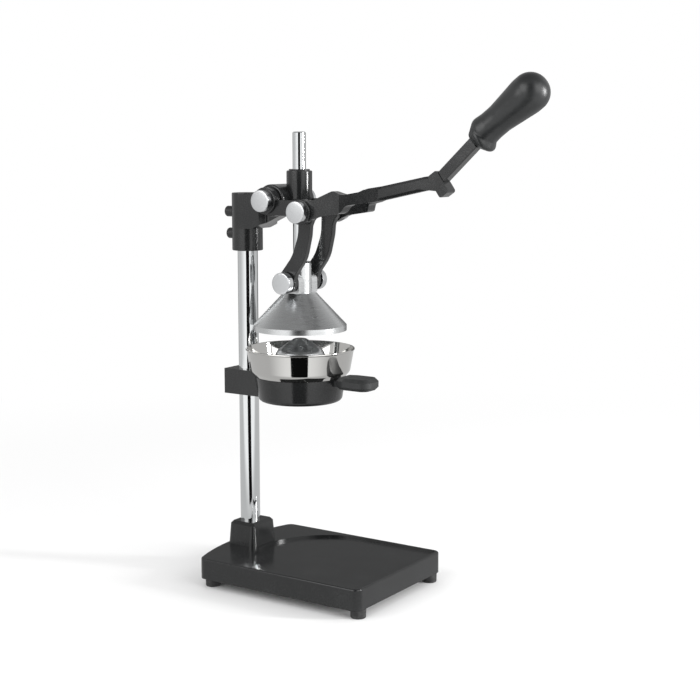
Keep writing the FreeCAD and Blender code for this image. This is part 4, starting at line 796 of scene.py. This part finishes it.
class PRESS_OT_cone(bpy.types.Operator):
    """Spins the cone and its hub"""

    bl_idname = "press.cone"
    bl_label = "Cone"

    def execute(self, context):
        finish_nodes(["press_cone", "cone_hub"], spun_finish())
        return {"FINISHED"}


def make_cup(lathe, finish):
    """Spun bowl with a rolled bead, a spigot in the ring, a funnel and a spout."""
    sizes = settings().turned
    low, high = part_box("cup")
    wall = sizes.cup_wall / MM
    bead = sizes.cup_bead / MM
    bead_turn = bead * 0.9
    neck_turn = 0.5
    rim = (high.y - low.y) / 2 / MM
    top = high.z / MM
    bottom = low.z / MM
    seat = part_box("cup_holder")[1].z / MM - CUP_SEAT_DROP
    floor = seat - SPIGOT_DEPTH
    outside = [
        (SPOUT_RADIUS, bottom, SPOUT_EDGE_TURN),
        (SPOUT_RADIUS, floor - FUNNEL_DEPTH, FUNNEL_TURN),
        (FUNNEL_RADIUS, floor, FUNNEL_TURN),
        (SPIGOT_RADIUS, floor, SPIGOT_FOOT_TURN),
        (SPIGOT_RADIUS, seat, SPIGOT_TOP_TURN),
        (CUP_SHOULDER_RADIUS, seat),
        (CUP_SIDE_RADIUS, seat + CUP_SIDE_RISE, CUP_TURN_RADIUS),
        (rim - bead, top - 2 * bead, neck_turn),
        (rim, top - 2 * bead, bead_turn),
        (rim, top, bead_turn),
    ]
    inside = [
        (rim - wall, top, CUP_RIM_TURN),
        (CUP_SIDE_RADIUS - wall, seat + CUP_SIDE_RISE + CUP_INSIDE_LIFT, CUP_TURN_RADIUS - wall),
        (CUP_SHOULDER_RADIUS - wall, seat + wall),
        (SPIGOT_RADIUS - wall, seat + wall, SPIGOT_TOP_TURN),
        (SPIGOT_RADIUS - wall, floor + wall, SPIGOT_FOOT_TURN),
        (FUNNEL_RADIUS - FUNNEL_TIGHTENING, floor + wall, FUNNEL_TURN),
        (SPOUT_RADIUS - wall, floor - FUNNEL_DEPTH + FUNNEL_LIFT, FUNNEL_TURN),
        (SPOUT_RADIUS - wall, bottom, SPOUT_EDGE_TURN),
    ]
    points = rounded(outside + inside)
    cup = chain_object("spun_cup", points + points[:1])
    turn_upright(cup, lathe, finish, sizes.steps)
    settle(cup, "stand", ["cup"])


def make_strainer(lathe, slots, finish):
    """Domed strainer with a raised rim, a skirt and a ring of slots."""
    sizes = settings().turned
    low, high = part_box("strainer")
    wall = sizes.strainer_wall / MM
    rim = (high.y - low.y) / 2 / MM
    foot = low.z / MM
    top = high.z / MM
    floor = foot + SKIRT_DEPTH
    brow = DOME_RADIUS * DOME_BROW_SHARE
    brow_height = floor + (top - floor) * DOME_BROW_RISE
    crown = DOME_RADIUS * DOME_CROWN_SHARE
    points = rounded([
        (SKIRT_RADIUS - wall, foot),
        (SKIRT_RADIUS, foot),
        (SKIRT_RADIUS, floor - wall, SKIRT_TURN),
        (rim, floor - wall, STRAINER_CORNER_TURN),
        (rim, floor + STRAINER_RIM, STRAINER_RIM_TURN),
        (rim - wall, floor + STRAINER_RIM, STRAINER_RIM_TURN),
        (rim - wall, floor, SKIRT_TURN),
        (DOME_RADIUS, floor, STRAINER_CORNER_TURN),
        (brow, brow_height, DOME_BROW_TURN),
        (crown, top, DOME_CROWN_TURN),
        (0.0, top),
        (0.0, top - wall),
        (crown - wall * 0.4, top - wall, DOME_CROWN_TURN - wall),
        (brow - wall, brow_height - wall * 0.6, DOME_BROW_TURN - wall),
        (DOME_RADIUS - wall, floor - wall, SKIRT_TURN),
        (SKIRT_RADIUS - wall, floor - wall, SKIRT_TURN),
    ], steps=8)
    strainer = chain_object("slotted_strainer", points + points[:1])
    turn_upright(strainer, lathe, finish, sizes.steps)
    place = (PRESS_X, 0.0, floor * MM)
    run_tree(
        strainer,
        slots,
        count=sizes.slot_count,
        circle=sizes.slot_circle,
        length=sizes.slot_length,
        width=sizes.slot_width,
        depth=8 * sizes.strainer_wall,
        place=place,
        finish=finish,
    )
    settle(strainer, "stand", ["strainer"])


class PRESS_OT_cup(bpy.types.Operator):
    """Spins and polishes the cup, and slots its strainer"""

    bl_idname = "press.cup"
    bl_label = "Cup and strainer"

    def execute(self, context):
        lathe = lathe_tree()
        make_cup(lathe, mirror_finish())
        make_strainer(lathe, slots_tree(), turned_finish())
        return {"FINISHED"}


class PRESS_OT_handles(bpy.types.Operator):
    """Moulds the grip and the cup's paddle"""

    bl_idname = "press.handles"
    bl_label = "Grip and paddle"

    def execute(self, context):
        finish_nodes(["grip"], plastic_finish("grip_plastic", GRIP_GLOSS, GRIP_GRAIN))
        finish_nodes(["cup_handle"], plastic_finish("paddle_plastic", PADDLE_GLOSS, PADDLE_GRAIN))
        return {"FINISHED"}


def make_caps(trees, name, nodes, body, seat, finish):
    """A pair of round caps with a crowned, turned face, on the two ends of a pin."""
    lathe, sides = trees
    low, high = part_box(nodes[0])
    radius = (high.z - low.z) / 2 / MM
    inner = min(abs(low.y), abs(high.y)) / MM
    outer = max(abs(low.y), abs(high.y)) / MM
    height = outer - inner
    crown = settings().turned.cap_crown / MM
    bow = [(radius * share, height - crown * share**2) for share in CAP_BOW_SHARES]
    side = [(radius, height - crown, CAP_RIM_TURN), (radius, seat, CAP_FOOT_TURN)]
    foot = [(CAP_NECK_RADIUS, seat), (CAP_NECK_RADIUS, 0.0), (0.0, 0.0)] if seat else [(0.0, 0.0)]
    points = rounded(bow + side + foot)
    caps = chain_object(name, points)
    lean = (-math.pi / 2, 0.0, 0.0)
    steps = settings().turned.steps // 2
    run_tree(caps, lathe, steps=steps, place=(0.0, inner * MM, 0.0), lean=lean, finish=finish)
    place = ((low.x + high.x) / 2, 0.0, (low.z + high.z) / 2)
    run_tree(caps, sides, place=place, finish=finish)
    settle(caps, body, nodes)


class PRESS_OT_caps(bpy.types.Operator):
    """Turns the caps and plates the pins and washers"""

    bl_idname = "press.caps"
    bl_label = "Caps, pins and washers"

    def execute(self, context):
        trees = (lathe_tree(), sides_tree())
        finish = turned_finish("chrome_turned", settings().colours.zinc, CAP_GLOSS)
        make_caps(trees, "fulcrum_caps", CAPS[:2], "lever", 0.0, finish)
        make_caps(trees, "link_caps", CAPS[2:], "lever", 0.0, finish)
        make_caps(trees, "saddle_caps", SADDLE_CAPS, "press", SADDLE_NECK, finish)
        finish_nodes(PINS + WASHERS + BOLTS, zinc_finish())
        finish_nodes(BLACKENED, oxide_finish())
        return {"FINISHED"}


def make_feet():
    """Four rubber feet with a moulded groove, hollow for the screws' heads."""
    low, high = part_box("foot_front_left")
    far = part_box("foot_rear_right")
    radius = FOOT_TOP_RADIUS
    height = high.z / MM
    foot = radius - FOOT_TAPER
    side = foot + FOOT_LEAN
    groove = settings().turned.foot_groove / MM
    groove_height = height * FOOT_GROOVE_HEIGHT
    points = rounded([
        (FOOT_SINK_RADIUS, 0.0, FOOT_SINK_TURN),
        (foot, 0.0, FOOT_EDGE_TURN),
        (side, groove_height, FOOT_SMALL_TURN),
        (side - groove, groove_height + groove, FOOT_SMALL_TURN),
        (side, groove_height + 2 * groove, FOOT_SMALL_TURN),
        (radius, height, FOOT_TOP_TURN),
        (FOOT_HOLE_RADIUS, height),
        (FOOT_HOLE_RADIUS, FOOT_SINK_DEPTH),
        (FOOT_SINK_RADIUS, FOOT_SINK_DEPTH, FOOT_SMALL_TURN),
    ], steps=4)
    feet = chain_object("rubber_feet", points + points[:1])
    finish = rubber_finish()
    turn_upright(feet, lathe_tree(), finish, settings().turned.steps // 2, axis_x=0.0)
    front = (low + high) / 2
    rear = (far[0] + far[1]) / 2
    centre = ((front.x + rear.x) / 2, (front.y + rear.y) / 2, 0.0)
    length = abs(front.x - rear.x)
    width = abs(front.y - rear.y)
    run_tree(feet, corners_tree(), length=length, width=width, place=centre, finish=finish)
    settle(feet, "stand", FEET)


class PRESS_OT_feet(bpy.types.Operator):
    """Moulds the four feet"""

    bl_idname = "press.feet"
    bl_label = "Feet"

    def execute(self, context):
        make_feet()
        return {"FINISHED"}


# Stage.


def object_from(name, points, faces, material):
    mesh = bpy.data.meshes.new(name)
    mesh.from_pydata(points, [], faces)
    mesh.materials.append(material)
    made = bpy.data.objects.new(name, mesh)
    bpy.context.scene.collection.objects.link(made)
    return made


def floor_finish(sizes):
    """Pale floor that fades to white away from the press, so that no horizon shows."""
    finish = Finish("pale_floor")
    options = {"operation": "LENGTH"}
    distance = finish.node("ShaderNodeVectorMath", options, {0: finish.place()}, output="Value")
    far = finish.stepped(distance, sizes.floor_clear, sizes.floor_radius)
    near = finish.node("ShaderNodeBsdfDiffuse", inputs={"Color": solid(sizes.floor_colour)})
    white = finish.node("ShaderNodeEmission", inputs={"Strength": 1.0})
    seen = finish.node("ShaderNodeMixShader", inputs={0: far, 1: near, 2: white})
    glossy = finish.node("ShaderNodeLightPath", output="Is Glossy Ray")
    ahead = finish.towards_camera(finish.place(), sizes)
    shine = finish.stepped(ahead, FLOOR_SHINE_STARTS, FLOOR_SHINE_ENDS, 0.0, sizes.floor_shine)
    level = sizes.floor_level + shine
    mirrored = finish.node("ShaderNodeEmission", inputs={"Strength": level})
    mixed = finish.node("ShaderNodeMixShader", inputs={0: glossy, 1: seen, 2: mirrored})
    finish.node("ShaderNodeOutputMaterial", inputs={"Surface": mixed})
    return finish.material


def make_floor(sizes):
    radius = sizes.floor_radius * FLOOR_MARGIN
    points = []
    for turn in range(FLOOR_TURNS):
        angle = 2 * math.pi * turn / FLOOR_TURNS
        points.append((radius * math.cos(angle), radius * math.sin(angle), 0.0))
    floor = object_from("floor", points, [tuple(range(FLOOR_TURNS))], floor_finish(sizes))


def only_in_reflections(card):
    card.visible_camera = False
    card.visible_diffuse = False
    card.visible_shadow = False
    card.visible_transmission = False
    card.visible_volume_scatter = False


def card_finish(name, level):
    finish = Finish(name)
    tone = finish.node("ShaderNodeEmission", inputs={"Color": (level, level, level, 1.0), "Strength": 1.0})
    finish.node("ShaderNodeOutputMaterial", inputs={"Surface": tone})
    return finish.material


def make_dark_card(sizes):
    """A dark strip on the table and up behind the camera, that the metal mirrors."""
    edges = [level_direction(sizes.camera_turn + side * sizes.card_half_angle) for side in (-1, 1)]
    far = sizes.card_reach
    points = []
    for reach, height in ((DARK_CARD_NEAR, DARK_CARD_LIFT), (far, DARK_CARD_LIFT), (far, DARK_CARD_TOP)):
        middle = Vector((PRESS_X, 0.0, height))
        points += [middle + edge * reach for edge in edges]
    faces = [(0, 1, 3, 2), (2, 3, 5, 4)]
    only_in_reflections(object_from("dark_card", points, faces, card_finish("dark_card", DARK_LEVEL)))


def make_back_card(sizes):
    """A dark card low behind the press, that the level faces mirror at a glance."""
    middle = level_direction(sizes.camera_turn) * -BACK_CARD_AWAY
    half = level_direction(sizes.camera_turn + math.pi / 2) * BACK_CARD_HALF_WIDTH
    up = Vector((0.0, 0.0, BACK_CARD_TOP))
    points = [middle - half, middle + half, middle + half + up, middle - half + up]
    finish = card_finish("back_card", sizes.back_level)
    only_in_reflections(object_from("back_card", points, [(0, 1, 2, 3)], finish))


def make_world(sizes):
    """White for the camera, plain soft light, and for mirrors a room that is brightest in front."""
    world = bpy.data.worlds.new("studio")
    bpy.context.scene.world = world
    world.use_nodes = True
    graph = Graph(world.node_tree)
    camera = graph.node("ShaderNodeLightPath", output="Is Camera Ray")
    glossy = graph.node("ShaderNodeLightPath", output="Is Glossy Ray")
    clear = graph.node("ShaderNodeLightPath", output="Is Transmission Ray")
    direction = graph.node("ShaderNodeTexCoord", output="Generated")
    height = graph.node("ShaderNodeSeparateXYZ", inputs={0: direction}, output="Z")
    facing = graph.towards_camera(direction, sizes).at_least(0.0) ** FRONT_FALL
    ceiling = graph.stepped(height, CEILING_STARTS, CEILING_ENDS, 1.0, sizes.ceiling_level)
    mirrored = ceiling * (sizes.side_level + sizes.front_level * facing)
    shown = (camera + clear).at_most(1.0)
    level = shown + (1 - shown) * (glossy * mirrored + (1 - glossy) * sizes.soft_level)
    shine = graph.node("ShaderNodeBackground", inputs={"Color": (1, 1, 1, 1), "Strength": level})
    graph.node("ShaderNodeOutputWorld", inputs={"Surface": shine})


def make_lamp(name, place, widths, power):
    data = bpy.data.lights.new(name, "AREA")
    data.shape = "RECTANGLE"
    data.size, data.size_y = widths
    data.energy = power
    lamp = bpy.data.objects.new(name, data)
    lamp.location = place
    lamp.rotation_euler = (Vector(LAMP_TARGET) - Vector(place)).to_track_quat("-Z", "Y").to_euler()
    lamp.visible_camera = False
    bpy.context.scene.collection.objects.link(lamp)


def make_camera(sizes):
    data = bpy.data.cameras.new("camera")
    data.sensor_width = SENSOR_WIDTH
    data.lens = sizes.lens
    data.clip_end = CAMERA_SIGHT
    camera = bpy.data.objects.new("camera", data)
    camera.location = sizes.camera_place
    camera.rotation_euler = (math.pi / 2 - sizes.camera_fall, 0.0, sizes.camera_turn)
    bpy.context.scene.collection.objects.link(camera)
    bpy.context.scene.camera = camera


class PRESS_OT_stage(bpy.types.Operator):
    """Lays the floor and sets the lamps and the camera"""

    bl_idname = "press.stage"
    bl_label = "Stage"

    def execute(self, context):
        sizes = settings().stage
        make_floor(sizes)
        make_dark_card(sizes)
        make_back_card(sizes)
        make_world(sizes)
        make_lamp("key_lamp", KEY_PLACE, (sizes.key_width, sizes.key_width), sizes.key_power)
        make_lamp("fill_lamp", FILL_PLACE, (sizes.fill_width, sizes.fill_width), sizes.fill_power)
        make_lamp("strip_lamp", STRIP_PLACE, (sizes.strip_width, sizes.strip_height), sizes.strip_power)
        make_camera(sizes)
        bpy.context.scene.view_settings.view_transform = "Standard"
        return {"FINISHED"}


OPERATORS = (
    PRESS_OT_castings,
    PRESS_OT_bars,
    PRESS_OT_cone,
    PRESS_OT_cup,
    PRESS_OT_handles,
    PRESS_OT_caps,
    PRESS_OT_feet,
    PRESS_OT_stage,
)


class PRESS_PT_panel(bpy.types.Panel):
    """Sizes and colours of the press, and a button for each group of pieces"""

    bl_idname = "PRESS_PT_panel"
    bl_label = "Citrus press"
    bl_space_type = "VIEW_3D"
    bl_region_type = "UI"
    bl_category = "Citrus press"

    def draw(self, context):
        layout = self.layout
        for group in (settings().colours, settings().enamel, settings().turned, settings().stage):
            for name in group.__annotations__:
                layout.prop(group, name)
        for operator in OPERATORS:
            layout.operator(operator.bl_idname)


CLASSES = (PressColours, EnamelSizes, TurnedSizes, StageSizes, PressSettings, *OPERATORS, PRESS_PT_panel)


def register():
    for item in CLASSES:
        bpy.utils.register_class(item)
    bpy.types.Scene.citrus_press = PointerProperty(type=PressSettings)


def unregister():
    del bpy.types.Scene.citrus_press
    for item in reversed(CLASSES):
        bpy.utils.unregister_class(item)


def main():
    register()
    for operator in OPERATORS:
        group, name = operator.bl_idname.split(".")
        getattr(getattr(bpy.ops, group), name)()


if __name__ == "__main__":
    main()
